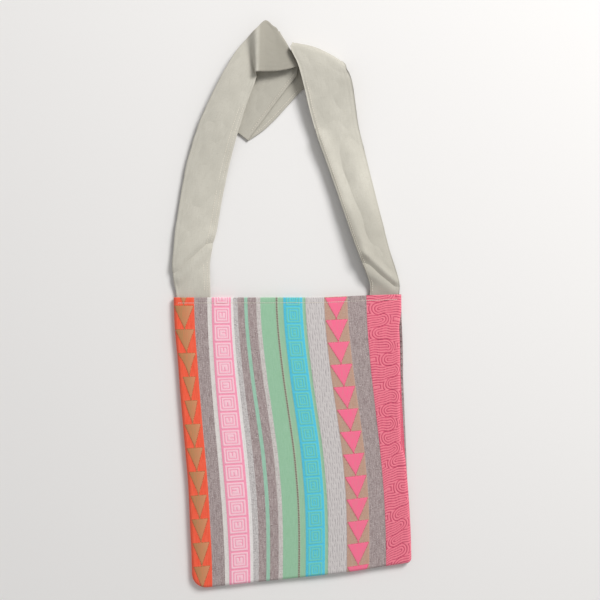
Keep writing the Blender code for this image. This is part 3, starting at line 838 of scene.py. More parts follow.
@dataclass
class Panel:
    """One cloth panel: a finely woven outer face, a plain inner face and the rim between them."""

    name: str
    side: Side
    body: Body
    row: float
    column_factor: float = 1.0
    drawn_in: float = 0.0
    stripes: tuple[Stripe, ...] = STRIPES
    weave: Weave = field(init=False)

    def __post_init__(self) -> None:
        """Lay out the weave on the body's cloth."""
        self.weave = Weave(self.body, self.stripes)

    def roll_steps(self) -> np.ndarray:
        """Return distances from a seamed edge at which the rolled edge gets a point."""
        return self.body.edge_roll * (1 - np.cos(np.radians(np.arange(0, 91, 9))))

    def depths(self) -> np.ndarray:
        """Space the rows down the cloth, closer at the mouth's fold and at the bottom seam.

        Returns:
            The rows' depths.
        """
        fold = np.array([0.0, 0.12, 0.35, 0.7, 1.15]) * MM
        foot = self.body.depth - self.roll_steps()[::-1]
        count = round((foot[0] - fold[-1]) / self.row)
        return np.concatenate([fold, np.linspace(fold[-1], foot[0], count + 1)[1:-1], foot])

    def shares(self, width: float, column: float, rolled: bool) -> np.ndarray:
        """Space the columns across a stripe, closer at its start where that edge is rolled.

        Args:
            width: The stripe's width.
            column: The distance between its columns.
            rolled: Whether it lies at the bag's edge.

        Returns:
            Shares from 0 to 1.
        """
        start = self.roll_steps() if rolled else np.array([0.0])
        count = max(2, round((width - start[-1]) / (column * self.column_factor)))
        return np.concatenate([start, np.linspace(start[-1], width, count + 1)[1:]]) / width

    def grid(self) -> tuple[np.ndarray, np.ndarray, np.ndarray]:
        """Lay the outer face's grid on the cloth plane.

        Returns:
            Places across and depths, rows by columns, and the stripe number of each gap between columns.
        """
        t = self.depths()
        edges = self.weave.edges()
        last = len(self.stripes) - 1
        columns, stripe_numbers = [], []
        for number, stripe in enumerate(self.stripes):
            left, right = edges[number], edges[number + 1]
            shares = self.shares(right - left, stripe.column, number in (0, last))
            if number == last:
                shares = 1 - shares[::-1]
            start = self.body.left_edge(t) if number == 0 else np.full_like(t, left)
            end = self.body.right_edge(t) if number == last else np.full_like(t, right)
            kept = shares if number == last else shares[:-1]
            columns += [start + (end - start) * share for share in kept]
            stripe_numbers += [number] * (len(shares) - 1)
        s = np.stack(columns, axis=1)
        return s, np.repeat(t[:, None], s.shape[1], axis=1), np.array(stripe_numbers)

    def roll(self, s: np.ndarray, t: np.ndarray) -> tuple[np.ndarray, np.ndarray]:
        """Return the height share and the levelness of the rolled edge at each point."""
        level = 1 - np.minimum(self.body.seam_distance(s, t) / self.body.edge_roll, 1.0)
        return np.sqrt(np.maximum(1 - level**2, 0.0)), level

    def fold_share(self, t: np.ndarray) -> np.ndarray:
        """Return how far the mouth's folded edge has opened to the hem's full thickness."""
        return np.sqrt(np.maximum(1 - (1 - np.clip(t / self.body.cloth, 0.0, 1.0)) ** 2, 0.0))

    def swell(self, s: np.ndarray, t: np.ndarray) -> np.ndarray:
        """Return the low waves of cloth that lies loosely, and its pucker along the hem's stitching.

        Args:
            s: Places across.
            t: Depths.

        Returns:
            Heights in metres.
        """
        a, b = s / self.body.width, t / self.body.depth
        waves = 0.45 * np.sin(7.1 * a + 3.0 * b + 0.4) + 0.35 * np.sin(3.3 * a - 9.4 * b + 1.1)
        waves = waves + 0.22 * np.sin(15.7 * a + 5.2 * b) * np.sin(11.3 * b + 2.0)
        pucker = np.exp(-(((t - self.body.hem_stitching) / (1.3 * MM)) ** 2))
        pucker = pucker * (0.28 + 0.1 * np.sin(s / (1.9 * MM)))
        ripple = 0.18 * np.sin(s / (4.6 * MM)) * np.exp(-t / (9 * MM))
        return (waves * 0.75 - pucker + ripple) * MM

    def outer_points(self, s: np.ndarray, t: np.ndarray) -> np.ndarray:
        """Return the outer face's points.

        Args:
            s: Places across.
            t: Depths.

        Returns:
            Points, one row each.
        """
        body = self.body
        share, _ = self.roll(s, t)
        wall = body.wall(t)
        relief = self.weave.relief(s, t)
        full = body.middle - body.seam_gap / 2
        if self.side is Side.FRONT:
            height = full * share + (relief + self.swell(s, t)) * share
        else:
            height = full * share - (self.weave.band_rise + self.weave.figure_rise - relief) * share
        height = height - (1 - self.fold_share(t)) * (wall / 2) * share
        x, y = body.place(s, t)
        x = x - self.pulled(s, t)
        return np.stack([x, y, body.middle + self.side.value * (body.seam_gap / 2 + height)], axis=-1)

    def pulled(self, s: np.ndarray, t: np.ndarray) -> np.ndarray:
        """Return how far the cloth is pulled in from the right seam, so that the other panel's edge shows.

        Args:
            s: Places across.
            t: Depths.

        Returns:
            Distances in metres, to the left.
        """
        share = t / self.body.depth
        along = eased(share, 0.05, 0.13) * eased(share, 0.62, 0.55)
        near = eased(self.body.right_edge(t) - s, 5 * self.body.edge_roll, 0.0)
        return self.drawn_in * along * near

    def inner_points(self, s: np.ndarray, t: np.ndarray) -> np.ndarray:
        """Return the inner face's points, drawn in from the seam by the cloth's thickness.

        Args:
            s: Places across.
            t: Depths.

        Returns:
            Points, one row each.
        """
        body = self.body
        share, level = self.roll(s, t)
        wall = body.wall(t)
        full = body.middle - body.seam_gap / 2
        height = (full - wall) * share + (1 - self.fold_share(t)) * (wall / 2 - 0.15 * MM) * share
        if self.side is Side.FRONT:
            height = height + self.swell(s, t) * share
        step = 0.05 * MM
        slope_s = (body.seam_distance(s + step, t) - body.seam_distance(s - step, t)) / (2 * step)
        slope_t = (body.seam_distance(s, t + step) - body.seam_distance(s, t - step)) / (2 * step)
        length = np.maximum(np.hypot(slope_s, slope_t), 1e-6)
        inward = level * wall
        x, y = body.place(s + slope_s / length * inward, t + slope_t / length * inward)
        x = x - self.pulled(s, t)
        return np.stack([x, y, body.middle + self.side.value * (body.seam_gap / 2 + height)], axis=-1)

    def build(self) -> bpy.types.Object:
        """Make the panel's mesh with its cloth coordinates and figures.

        Returns:
            The finished piece.
        """
        s, t, stripe_numbers = self.grid()
        rows, columns = s.shape
        number = np.arange(rows * columns).reshape(rows, columns)
        border = np.concatenate([number[0, :-1], number[:-1, -1], number[-1, :0:-1], number[:0:-1, 0]])
        s, t = s.ravel(), t.ravel()
        inner_s, inner_t, inner_faces = self.inner_sheet(s[border], t[border])
        corners = (number[:-1, :-1], number[1:, :-1], number[1:, 1:], number[:-1, 1:])
        quads = np.stack([corner.ravel() for corner in corners], axis=1)
        base, count = rows * columns, len(border)
        faces = [tuple(quad) for quad in quads.tolist()]
        faces += [tuple(base + vertex for vertex in face) for face in inner_faces]
        for i in range(count):
            j = (i + 1) % count
            faces.append((int(border[i]), int(border[j]), base + j, base + i))
        if self.side is Side.BACK:
            faces = [face[::-1] for face in faces]
        slots = np.tile(stripe_numbers, rows - 1).tolist()
        slots += self.stripe_at(inner_s[np.array(inner_faces)].mean(axis=1))
        slots += self.stripe_at((s[border] + np.roll(s[border], -1)) / 2)
        yarns = list(dict.fromkeys(stripe.yarn for stripe in self.stripes))
        materials = [bpy.data.materials.get(yarn.name) or yarn.dress() for yarn in yarns]
        slots = [yarns.index(self.stripes[slot].yarn) for slot in slots]
        vertices = np.concatenate([self.outer_points(s, t), self.inner_points(inner_s, inner_t)])
        piece = new_piece(self.name, vertices, faces, materials, slots, sharp_angle=75.0)
        across, down = np.concatenate([s, inner_s]), np.concatenate([t, inner_t])
        write_uv(piece.data, CLOTH_UV, across / MM, down / MM)
        figure = np.concatenate([self.weave.figure(s, t), np.full(len(inner_s), NO_FIGURE)])
        write_values(piece.data, FIGURE, figure / MM)
        return piece

    def stripe_at(self, s: np.ndarray) -> list[int]:
        """Return the number of the stripe at each place across."""
        found = np.searchsorted(self.weave.edges(), s) - 1
        return np.clip(found, 0, len(self.stripes) - 1).tolist()

    def inner_sheet(
        self, s: np.ndarray, t: np.ndarray
    ) -> tuple[np.ndarray, np.ndarray, list[tuple[int, ...]]]:
        """Fill the border with an even net of triangles for the inner face.

        Args:
            s: Places across of the border's points, in order.
            t: Depths of the border's points.

        Returns:
            Places across, depths and triangles, the border's points first.
        """
        step = 9.0 * MM
        points = [Vector(pair) for pair in zip(s.tolist(), t.tolist())]
        count = len(points)
        links = [(i, (i + 1) % count) for i in range(count)]
        rings = [self.body.edge_roll * share for share in (0.12, 0.5, 1.0)]
        for depth in np.arange(step, self.body.depth - self.body.edge_roll, step):
            left, right = float(self.body.left_edge(depth)), float(self.body.right_edge(depth))
            inside = np.arange(left + 1.6 * step, right - 1.2 * step, step).tolist()
            inside += [left + ring for ring in rings] + [right - ring for ring in rings]
            points += [Vector((place, float(depth))) for place in inside]
        bottom = np.arange(self.body.left_corner, self.body.bottom_end, step).tolist()
        for ring in rings:
            points += [Vector((place, self.body.depth - ring)) for place in bottom]
        made = delaunay_2d_cdt(points, links, [], 1, 1e-7, True)
        order = {origin: new for new, origins in enumerate(made[3]) for origin in origins if origin < count}
        swap = {order[i]: i for i in range(count)}
        rest = [new for new in range(len(made[0])) if new not in swap]
        swap.update({new: count + i for i, new in enumerate(rest)})
        placed = [(0.0, 0.0)] * len(made[0])
        for new, kept in swap.items():
            placed[kept] = (made[0][new].x, made[0][new].y)
        faces = [tuple(swap[v] for v in face) for face in made[2]]
        pairs = np.array(placed)
        return pairs[:, 0], pairs[:, 1], faces


@dataclass(frozen=True)
class Canvas:
    """Natural canvas: an off-white plain weave of thick uneven threads, washed soft, with no shine.

    The eye sees a fine grain both ways, slightly darker slubs, cloudy patches where it has been handled, and
    painted shade on the shaded panel of the top fold and the folded tails; it greys towards the right end.
    """

    name: str = "natural_cotton_canvas"
    ground: str = "CFCBBF"
    shade: str = "C2BDB0"
    slub: str = "ABA698"
    cloud: str = "BFBBAF"
    # Colour of the painted shade, and of the greying towards the right end.
    shade_paint: str = "959084"
    warp_streak: tuple[float, float] = (0.8, 12.0)
    weft_slub: tuple[float, float] = (8.0, 0.7)
    cloud_size: tuple[float, float] = (26.0, 34.0)
    thread: float = 0.95

    def dress(self) -> bpy.types.Material:
        """Make the material.

        Returns:
            The material.
        """
        material, tree, shader = new_material(self.name)
        cloth = add_node(tree, "ShaderNodeUVMap", {"uv_map": CLOTH_UV}).outputs["UV"]
        warp = grains(tree, cloth, self.warp_streak, 3.0)
        weft = grains(tree, cloth, self.weft_slub, 3.0)
        cloudy = grains(tree, cloth, self.cloud_size)
        # Painted shade where the folds at the top lie in shade, and greying towards the right end, read from
        # the strap.
        wear = add_node(tree, "ShaderNodeAttribute", {"attribute_name": PAINTED_SHADE_AND_GREYING}).outputs["Fac"]
        colour = linear(self.ground)
        for stain, pattern, limits, strength in (
            (self.shade, warp, (0.42, 0.68), 0.6),
            (self.slub, weft, (0.52, 0.75), 0.4),
            (self.cloud, cloudy, (0.4, 0.7), 0.5),
            (self.shade_paint, wear, (0.0, 1.0), 1.0),
        ):
            colour = stained(tree, colour, linear(stain), pattern, limits, strength)
        tree.links.new(colour, shader.inputs["Base Color"])
        rough = add_node(tree, "ShaderNodeMapRange", Value=warp, in_1=0.3, in_2=0.7, in_3=0.84, in_4=0.96)
        tree.links.new(rough.outputs["Result"], shader.inputs["Roughness"])
        shader.inputs["Specular IOR Level"].default_value = 0.25
        shader.inputs["Sheen Weight"].default_value = 0.08
        tree.links.new(over_and_under(tree, cloth, self.thread, 0.25 * MM), shader.inputs["Normal"])
        return material


@dataclass(frozen=True)
class Thread:
    """Sewing cotton: matt twisted thread of one colour, a touch paler than the cloth it holds."""

    name: str
    colour: str

    def dress(self) -> bpy.types.Material:
        """Make the material.

        Returns:
            The material.
        """
        material, _, shader = new_material(self.name)
        shader.inputs["Base Color"].default_value = linear(self.colour)
        shader.inputs["Roughness"].default_value = 0.75
        shader.inputs["Sheen Weight"].default_value = 0.15
        return material


# Cream shows as a pale line on the hems, natural hardly shows on the strap, taupe is for the seams inside.
THREADS = {
    "cream": Thread("sewing_cotton_cream", "E4DCD0"),
    "natural": Thread("sewing_cotton_natural", "EAE2D4"),
    "taupe": Thread("sewing_cotton_taupe", "B7ABA4"),
}


@dataclass(frozen=True)
class Station:
    """A place along the strap.

    It gives shares of the bag's half width and of the strap's reach, the layers of strap below, the lift in
    rises, the heading and tilt in degrees, the span as a share of the strap's width and the camber in rises.
    """

    across: float
    up: float
    layers: float
    lift: float
    heading: float
    tilt: float
    span: float
    camber: float = 0.0


@dataclass(frozen=True)
class Fold:
    """A half turn of the strap about a line that lies flat, bulging left (1) or right (-1) of its heading."""

    side: int
    across: float
    up: float
    low_layers: float
    low_lift: float
    high_layers: float
    high_lift: float
    heading: float
    span: float
    rises: bool
    widening: float = 0.0
    bow: float = 0.0
    bulge: float = 1.0


LEFT_RUN = (
    Station(-0.843, 0.0543, 0, 0.52, 2, 0, 0.83, 0.1),
    Station(-0.853, 0.1286, 0, 0.6, 6, -5, 0.87, 0.2),
    Station(-0.837, 0.2029, 0, 0.7, 3, -7, 0.89, 0.3),
    Station(-0.801, 0.2971, 0, 0.6, -11, -5, 0.95, 0.25),
    Station(-0.758, 0.4143, 0, 0.6, -10, -4, 0.96, 0.25),
    Station(-0.699, 0.5371, 0, 0.8, -13, -3, 0.96, 0.25),
    Station(-0.611, 0.6714, 0, 1.2, -17, 0, 0.92, 0.3),
    Station(-0.511, 0.7857, 0, 1.4, -21, 0, 0.83, 0.3),
    Station(-0.434, 0.8629, 0, 1.4, -31, 0, 0.77, 0.2),
    Station(-0.365, 0.9229, 0, 1.3, -53, 0, 0.77, 0.1),
    Station(-0.318, 0.9543, 0, 1.25, -76, 0, 0.86, 0.0),
    Station(-0.272, 0.9714, 0, 2.4, -90, 0, 1.00, 0.0),
    Station(-0.198, 0.9914, 0, 1.9, -90, 0, 1.18, 0.2),
    Station(-0.108, 0.9829, 0, 1.5, -84, 0, 1.04, 0.0),
    Station(-0.056, 0.9829, 0, 1.4, -76, 0, 0.98, 0.0),
)
FIRST_FOLD = Fold(1, 0.008, 0.9857, 1, 0.3, 3, 0.26, -60, 0.92, False, bulge=0.5)
UPPER_TAIL = (
    Station(-0.039, 0.9457, 1, 0.32, -51, 0, 0.95),
    Station(-0.105, 0.9086, 1, 0.15, -40, 0, 0.94),
    Station(-0.235, 0.8314, 1, 0.04, -37, 0, 0.94),
    Station(-0.372, 0.7486, 1, 0.0, -37, 0, 0.94),
    Station(-0.455, 0.7, 1, 0.0, -36, 0, 0.95),
)
SECOND_FOLD = Fold(-1, -0.500, 0.6714, 0, 0.0, 1, 0.0, -36, 0.95, False)
LOWER_TAIL = (
    Station(-0.375, 0.7086, 0, 0.0, -36, 0, 0.93),
    Station(-0.252, 0.7629, 0, 0.0, -42, 0, 0.95),
    Station(-0.122, 0.8257, 0, 0.0, -42, 0, 0.94),
    Station(0.020, 0.8886, 0, 0.0, -42, 0, 0.92),
)
THIRD_FOLD = Fold(1, 0.252, 0.9743, 0, 0.04, 0, 2.2, -21, 1.17, True, 0.013, 0.0055)
RIGHT_RUN = (
    Station(0.315, 0.8971, 0, 2.25, -11, 0, 1.21, 0.1),
    Station(0.354, 0.8371, 0, 2.05, 2, 0, 1.12, 0.15),
    Station(0.394, 0.7514, 0, 1.65, 12, -3, 1.07, 0.2),
    Station(0.442, 0.6571, 0, 1.3, 17, -6, 1.00, 0.3),
    Station(0.505, 0.5657, 0, 1.15, 20, -9, 0.95, 0.4),
    Station(0.572, 0.4657, 0, 1.15, 19, -12, 0.90, 0.5),
    Station(0.639, 0.3629, 0, 1.25, 19, -15, 0.86, 0.5),
    Station(0.708, 0.2571, 0, 1.35, 19, -18, 0.82, 0.5),
    Station(0.763, 0.1771, 0, 1.3, 15, -19, 0.77, 0.4),
    Station(0.822, 0.1029, 0, 1.0, 9, -14, 0.72, 0.2),
    Station(0.855, 0.0514, 0, 0.65, 3, -5, 0.69, 0.1),
)


@dataclass(frozen=True)
class Crease:
    """A soft ridge or valley in one stretch of the strap, between two places on the plan in millimetres."""

    start: tuple[float, float]
    end: tuple[float, float]
    width: float
    height: float
    first: float
    last: float


CREASES = (
    Crease((-110, 86), (-158, 45), 10.0, 2.6, 0.0, 0.3),
    Crease((-112, 68), (-152, 27), 8.0, -2.6, 0.0, 0.3),
    Crease((46, 222), (106, 60), 9.0, -4.6, 0.6, 1.0),
    Crease((88, 200), (124, 96), 12.0, 2.8, 0.6, 1.0),
    Crease((104, 62), (150, 22), 5.5, -3.0, 0.6, 1.0),
    Crease((106, 40), (148, 8), 8.0, 2.0, 0.6, 1.0),
)


@dataclass(frozen=True)
class StrapRow:
    """A row of stitches on the left (-1) or right (1) run: metres from its edge, and how far up it ends."""

    node: str
    side: int
    from_edge: float
    end: float


@dataclass(frozen=True)
class TailRow:
    """A row of stitches on the folded tail, between two distances along the strap."""

    name: str
    start: float
    end: float


@dataclass(frozen=True)
class ShadedStretch:
    """A stretch of painted shade: how dark it is, and the distances along the strap where it fades in and out.
    """

    strength: float
    start: float
    full_from: float
    full_to: float
    end: float


@dataclass
class Strap:
    """The doubled canvas band: both ends in the mouth, a pleat and three half turns at the top."""

    body: Body
    name: str = "canvas_strap"
    width: float = 0.060
    thickness: float = 0.0022
    tail: float = 0.026
    reach: float = 0.350
    rise: float = 0.010
    layer_gap: float = 0.0013
    floor_gap: float = 0.0002
    foot_clearance: float = 0.0006
    gathers: tuple[float, float] = (0.013, 0.019)
    step: float = 0.0016
    columns: int = 34
    stitch_rows: tuple[StrapRow, ...] = (
        StrapRow("strap_stitching_left_edge", -1, 0.0045, 0.268),
        StrapRow("strap_stitching_left_inner", -1, 0.0100, 0.268),
        StrapRow("strap_stitching_right", 1, 0.0045, 0.300),
    )
    tail_rows: tuple[TailRow, ...] = (
        TailRow("upper_tail_row", 0.462, 0.566),
        TailRow("lower_tail_row", 0.600, 0.690),
    )
    # Painted shade: strong on the shaded panel of the fold at the top, lighter over the folded tails.
    shade_paint: tuple[ShadedStretch, ...] = (
        ShadedStretch(0.72, 0.390, 0.398, 0.438, 0.450),
        ShadedStretch(0.25, 0.440, 0.450, 0.740, 0.770),
    )
    # The canvas greys over the last stretch up from the right end.
    end_greyness: float = 0.36
    end_from: float = 0.190
    end_full_from: float = 0.120
    pinches: tuple[float, float] = (0.30 * MM, 0.16 * MM)
    pinch_width: float = 1.1 * MM

    def layer_height(self, layers: float, lift: float) -> float:
        """Return the height of the strap's middle on a number of its own layers."""
        below = self.floor_gap + layers * (self.thickness + self.layer_gap)
        return below + self.thickness / 2 + lift * self.rise

    def station_values(self, station: Station) -> tuple[float, ...]:
        """Return a station as centre x, y, z, heading, tilt, span, camber and bow.

        Args:
            station: The station.

        Returns:
            The eight values.
        """
        return (
            station.across * self.body.width / 2,
            station.up * self.reach,
            self.layer_height(station.layers, station.lift),
            station.heading,
            station.tilt,
            station.span * self.width,
            station.camber * self.rise,
            0.0,
        )

    def foot_values(self, side: int, up: float) -> tuple[float, ...]:
        """Return the values where the strap lies flat in the mouth.

        Args:
            side: -1 on the left and 1 on the right.
            up: How far above the mouth, negative inside it.

        Returns:
            The eight values.
        """
        span = self.width - self.gathers[0 if side < 0 else 1]
        inset = 2 * self.body.cloth + self.foot_clearance + span / 2
        return (side * (self.body.width / 2 - inset), up, self.body.middle, 0.0, 0.0, span, 0.0, 0.0)

    def fold_values(self, fold: Fold) -> list[tuple[float, ...]]:
        """Return the values round a half turn about the fold's line.

        Args:
            fold: The fold.

        Returns:
            The eight values at each 30 degrees of the turn.
        """
        low = self.layer_height(fold.low_layers, fold.low_lift)
        high = self.layer_height(fold.high_layers, fold.high_lift)
        radius, middle = (high - low) / 2, (high + low) / 2
        turn = math.radians(fold.heading)
        outward = Vector((-math.sin(turn), math.cos(turn))) * fold.side
        start = -1 if fold.rises else 1
        reach = min(radius, self.width / 6) * fold.bulge
        found = []
        for degrees in range(-90, 91, 30):
            angle = math.radians(degrees)
            out = outward * reach * (math.cos(angle) - 1)
            wider = fold.widening * ((1 + math.sin(angle)) / 2) ** 4
            x = fold.across * self.body.width / 2 + out.x + math.cos(turn) * wider / 2
            y = fold.up * self.reach + out.y + math.sin(turn) * wider / 2
            z = middle - start * radius * math.sin(angle)
            span = fold.span * self.width + wider
            found.append((x, y, z, fold.heading, 0.0, span, 0.0, fold.side * fold.bow))
        return found

    def route_values(self) -> list[tuple[float, ...]]:
        """Return the values at every station and fold, from the left end to the right end.

        Returns:
            Rows of eight values.
        """
        values = [self.foot_values(-1, -self.tail), self.foot_values(-1, 0.0)]
        values += [self.station_values(s) for s in LEFT_RUN] + self.fold_values(FIRST_FOLD)
        values += [self.station_values(s) for s in UPPER_TAIL] + self.fold_values(SECOND_FOLD)
        values += [self.station_values(s) for s in LOWER_TAIL] + self.fold_values(THIRD_FOLD)
        values += [self.station_values(s) for s in RIGHT_RUN]
        return values + [self.foot_values(1, 0.0), self.foot_values(1, -self.tail)]

    def route(self, step: float) -> np.ndarray:
        """Return the values read along one smooth curve through them all, about a step apart.

        Args:
            step: Distance between the rows read.

        Returns:
            Rows of eight values.
        """
        values = np.array(self.route_values())
        gaps = np.linalg.norm(np.diff(values[:, :3], axis=0), axis=1)
        places = np.concatenate([[0.0], np.cumsum(gaps)])
        number = np.arange(len(values))
        before, after = np.maximum(number - 1, 0), np.minimum(number + 1, len(values) - 1)
        slopes = (values[after] - values[before]) / (places[after] - places[before])[:, None]
        read = []
        for i, length in enumerate(gaps):
            count = max(1, round(length / step))
            u = (np.arange(count) / count)[:, None]
            blend = u * u * (3 - 2 * u)
            between = (1 - blend) * values[i] + blend * values[i + 1]
            bend = u * (1 - u) ** 2 * slopes[i] - u * u * (1 - u) * slopes[i + 1]
            read.append(between + bend * length)
        return np.concatenate(read + [values[-1:]])

    def surface(self, shares: np.ndarray, step: float) -> tuple[np.ndarray, np.ndarray, np.ndarray]:
        """Return the strap's middle surface.

        Args:
            shares: Places across, -1 at its left edge and 1 at its right.
            step: Distance between rows.

        Returns:
            Points and upper normals, rows by columns, and each row's distance along the strap.
        """
        route = self.route(step)
        turn, lean = np.radians(route[:, 3]), np.radians(route[:, 4])
        ruling = np.stack([np.cos(turn) * np.cos(lean), np.sin(turn) * np.cos(lean), np.sin(lean)], axis=1)
        x0, y0 = self.body.origin
        centre = route[:, :3] + np.array([x0, y0, 0.0])
        half_span = (route[:, 5] / 2)[:, None, None]
        points = centre[:, None, :] + ruling[:, None, :] * half_span * shares[None, :, None]
        points[:, :, 2] -= route[:, 6][:, None] * shares[None, :] ** 2
        outward = np.stack([-np.sin(turn), np.cos(turn), np.zeros_like(turn)], axis=1)
        points += outward[:, None, :] * (route[:, 7][:, None] * (1 - shares[None, :] ** 2))[:, :, None]
        along = np.concatenate([[0.0], np.cumsum(np.linalg.norm(np.diff(centre, axis=0), axis=1))])
        normals = self.normals(points)
        points = points + normals * self.handling(points, shares, along / along[-1])[:, :, None]
        return points, self.normals(points), along

    def normals(self, points: np.ndarray) -> np.ndarray:
        """Return unit normals of a net of points, on the side that is the strap's upper face at its ends.

        Args:
            points: The net, rows by columns.

        Returns:
            Unit vectors, rows by columns.
        """
        across = np.gradient(points, axis=1)
        down = np.gradient(points, axis=0)
        normal = np.cross(across, down)
        return normal / np.maximum(np.linalg.norm(normal, axis=2, keepdims=True), 1e-12)

    def handling(self, points: np.ndarray, shares: np.ndarray, progress: np.ndarray) -> np.ndarray:
        """Return how far creases and soft waves move the canvas along its normal.

        Args:
            points: The middle surface, rows by columns.
            shares: Places across, -1 to 1.
            progress: How far along the strap each row is, 0 to 1.

        Returns:
            Distances in metres, rows by columns.
        """
        x0, y0 = self.body.origin
        plan = (points[:, :, :2] - np.array([x0, y0])) / MM
        moved = np.zeros(points.shape[:2])
        for crease in CREASES:
            start, end = np.array(crease.start), np.array(crease.end)
            run = end - start
            length = float(np.linalg.norm(run))
            place = np.clip(((plan - start) @ run) / length**2, 0.0, 1.0)
            away = np.linalg.norm(plan - start - place[..., None] * run, axis=2)
            here = (progress >= crease.first) & (progress <= crease.last)
            depth = crease.height * np.exp(-((away / crease.width) ** 2))
            moved += depth * here[:, None]
        down, across = progress[:, None], shares[None, :]
        waves = 0.28 * np.sin(down * 71 + across * 2.3) * np.cos(across * 3.1 + 0.7)
        waves = waves + 0.15 * np.sin(down * 163 - across * 4.0)
        loose = eased(progress, 0.0, 0.05) * eased(progress, 1.0, 0.95)
        return (moved + waves) * loose[:, None] * MM

    def outline(self) -> tuple[np.ndarray, np.ndarray]:
        """Return the strap's closed section.

        Returns:
            Places across, as shares of the span, and up, as shares of half the thickness.
        """
        flat = np.linspace(-1.0, 1.0, self.columns)
        bend = np.radians([60.0, 90.0, 120.0])
        rounding = self.thickness / self.width
        top = flat * (1 - rounding)
        right = (1 - rounding) + rounding * np.sin(bend)
        across = np.concatenate([top, right, top[::-1], -right])
        up = np.concatenate([np.ones_like(top), np.cos(bend), -np.ones_like(top), -np.cos(bend)])
        return across, up

    def relief(self, shares: np.ndarray) -> np.ndarray:
        """Return how the strap's thickness changes across it, pinched where the stitches hold it.

        Args:
            shares: Places across, -1 to 1.

        Returns:
            Metres, negative where it is thinner.
        """
        from_edge = (1 - np.abs(shares)) * self.width / 2
        edge_row, inner_row = (
            depth * np.exp(-(((from_edge - row.from_edge) / self.pinch_width) ** 2))
            for depth, row in zip(self.pinches, self.stitch_rows)
        )
        return -(edge_row + inner_row * (shares > 0))

    def build(self) -> bpy.types.Object:
        """Make the strap's closed mesh with its cloth coordinates.

        Returns:
            The finished piece.
        """
        across, up = self.outline()
        points, normals, along = self.surface(across, self.step)
        half = self.thickness / 2 + self.relief(across)
        shell = points + normals * (up * half)[None, :, None]
        rows, count = shell.shape[:2]
        number = np.arange(rows * count).reshape(rows, count)
        following = np.roll(number, -1, axis=1)
        quads = np.stack([number[:-1], following[:-1], following[1:], number[1:]], axis=2).reshape(-1, 4)
        faces = [tuple(quad) for quad in quads.tolist()]
        facing = 2 * self.columns + 1
        for j in range(-2, self.columns + 1):
            a, b = j % count, (j + 1) % count
            ring = list(dict.fromkeys((a, b, (facing - b) % count, (facing - a) % count)))
            if len(ring) > 2:
                faces.append(tuple(int(number[0, v]) for v in reversed(ring)))
                faces.append(tuple(int(number[-1, v]) for v in ring))
        piece = new_piece(self.name, shell.reshape(-1, 3), faces, [Canvas().dress()])
        # The cloth coordinates of the lower face go on past the right edge, so that its grain is its own.
        wide = np.where(np.arange(count) < count / 2, across, 2.5 - across) * self.width / 2
        write_uv(piece.data, CLOTH_UV, np.tile(wide, rows) / MM, np.repeat(along, count) / MM)
        # Painted shade along the strap, and its greying towards the right end.
        write_values(piece.data, PAINTED_SHADE_AND_GREYING, np.repeat(self.wear(along), count))
        return piece

    def wear(self, along: np.ndarray) -> np.ndarray:
        """Return the painted shade of the shaded stretches, and the greying up from the right end.

        Args:
            along: Distances along the strap.

        Returns:
            Shares from 0 to 1.
        """
        left = along[-1] - along
        grey = self.end_greyness * eased(left, self.end_from, self.end_full_from)
        # Painted shade in the shaded stretches.
        for shade_paint in self.shade_paint:
            faded = eased(along, shade_paint.start, shade_paint.full_from) * eased(along, shade_paint.end, shade_paint.full_to)
            grey = grey + shade_paint.strength * faded
        return grey

    def line_at(self, share: float, step: float) -> tuple[np.ndarray, np.ndarray, np.ndarray]:
        """Return one lengthwise line of the middle surface.

        Args:
            share: The line's place across, -1 to 1.
            step: Distance between its points.

        Returns:
            The line's points, the upper normals there and the distances along the strap.
        """
        points, normals, along = self.surface(np.array([share - 0.02, share, share + 0.02]), step)
        return points[:, 1], normals[:, 1], along

    def length(self) -> float:
        """Return the length of the strap's middle line."""
        return float(self.line_at(0.0, self.step)[2][-1])


@dataclass
class Row:
    """A row of stitches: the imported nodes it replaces, its line, its thread and the way out of the cloth."""

    name: str
    nodes: tuple[str, ...]
    line: np.ndarray
    thread: str
    spacing: float
    ups: np.ndarray | None = None
    closed: bool = False


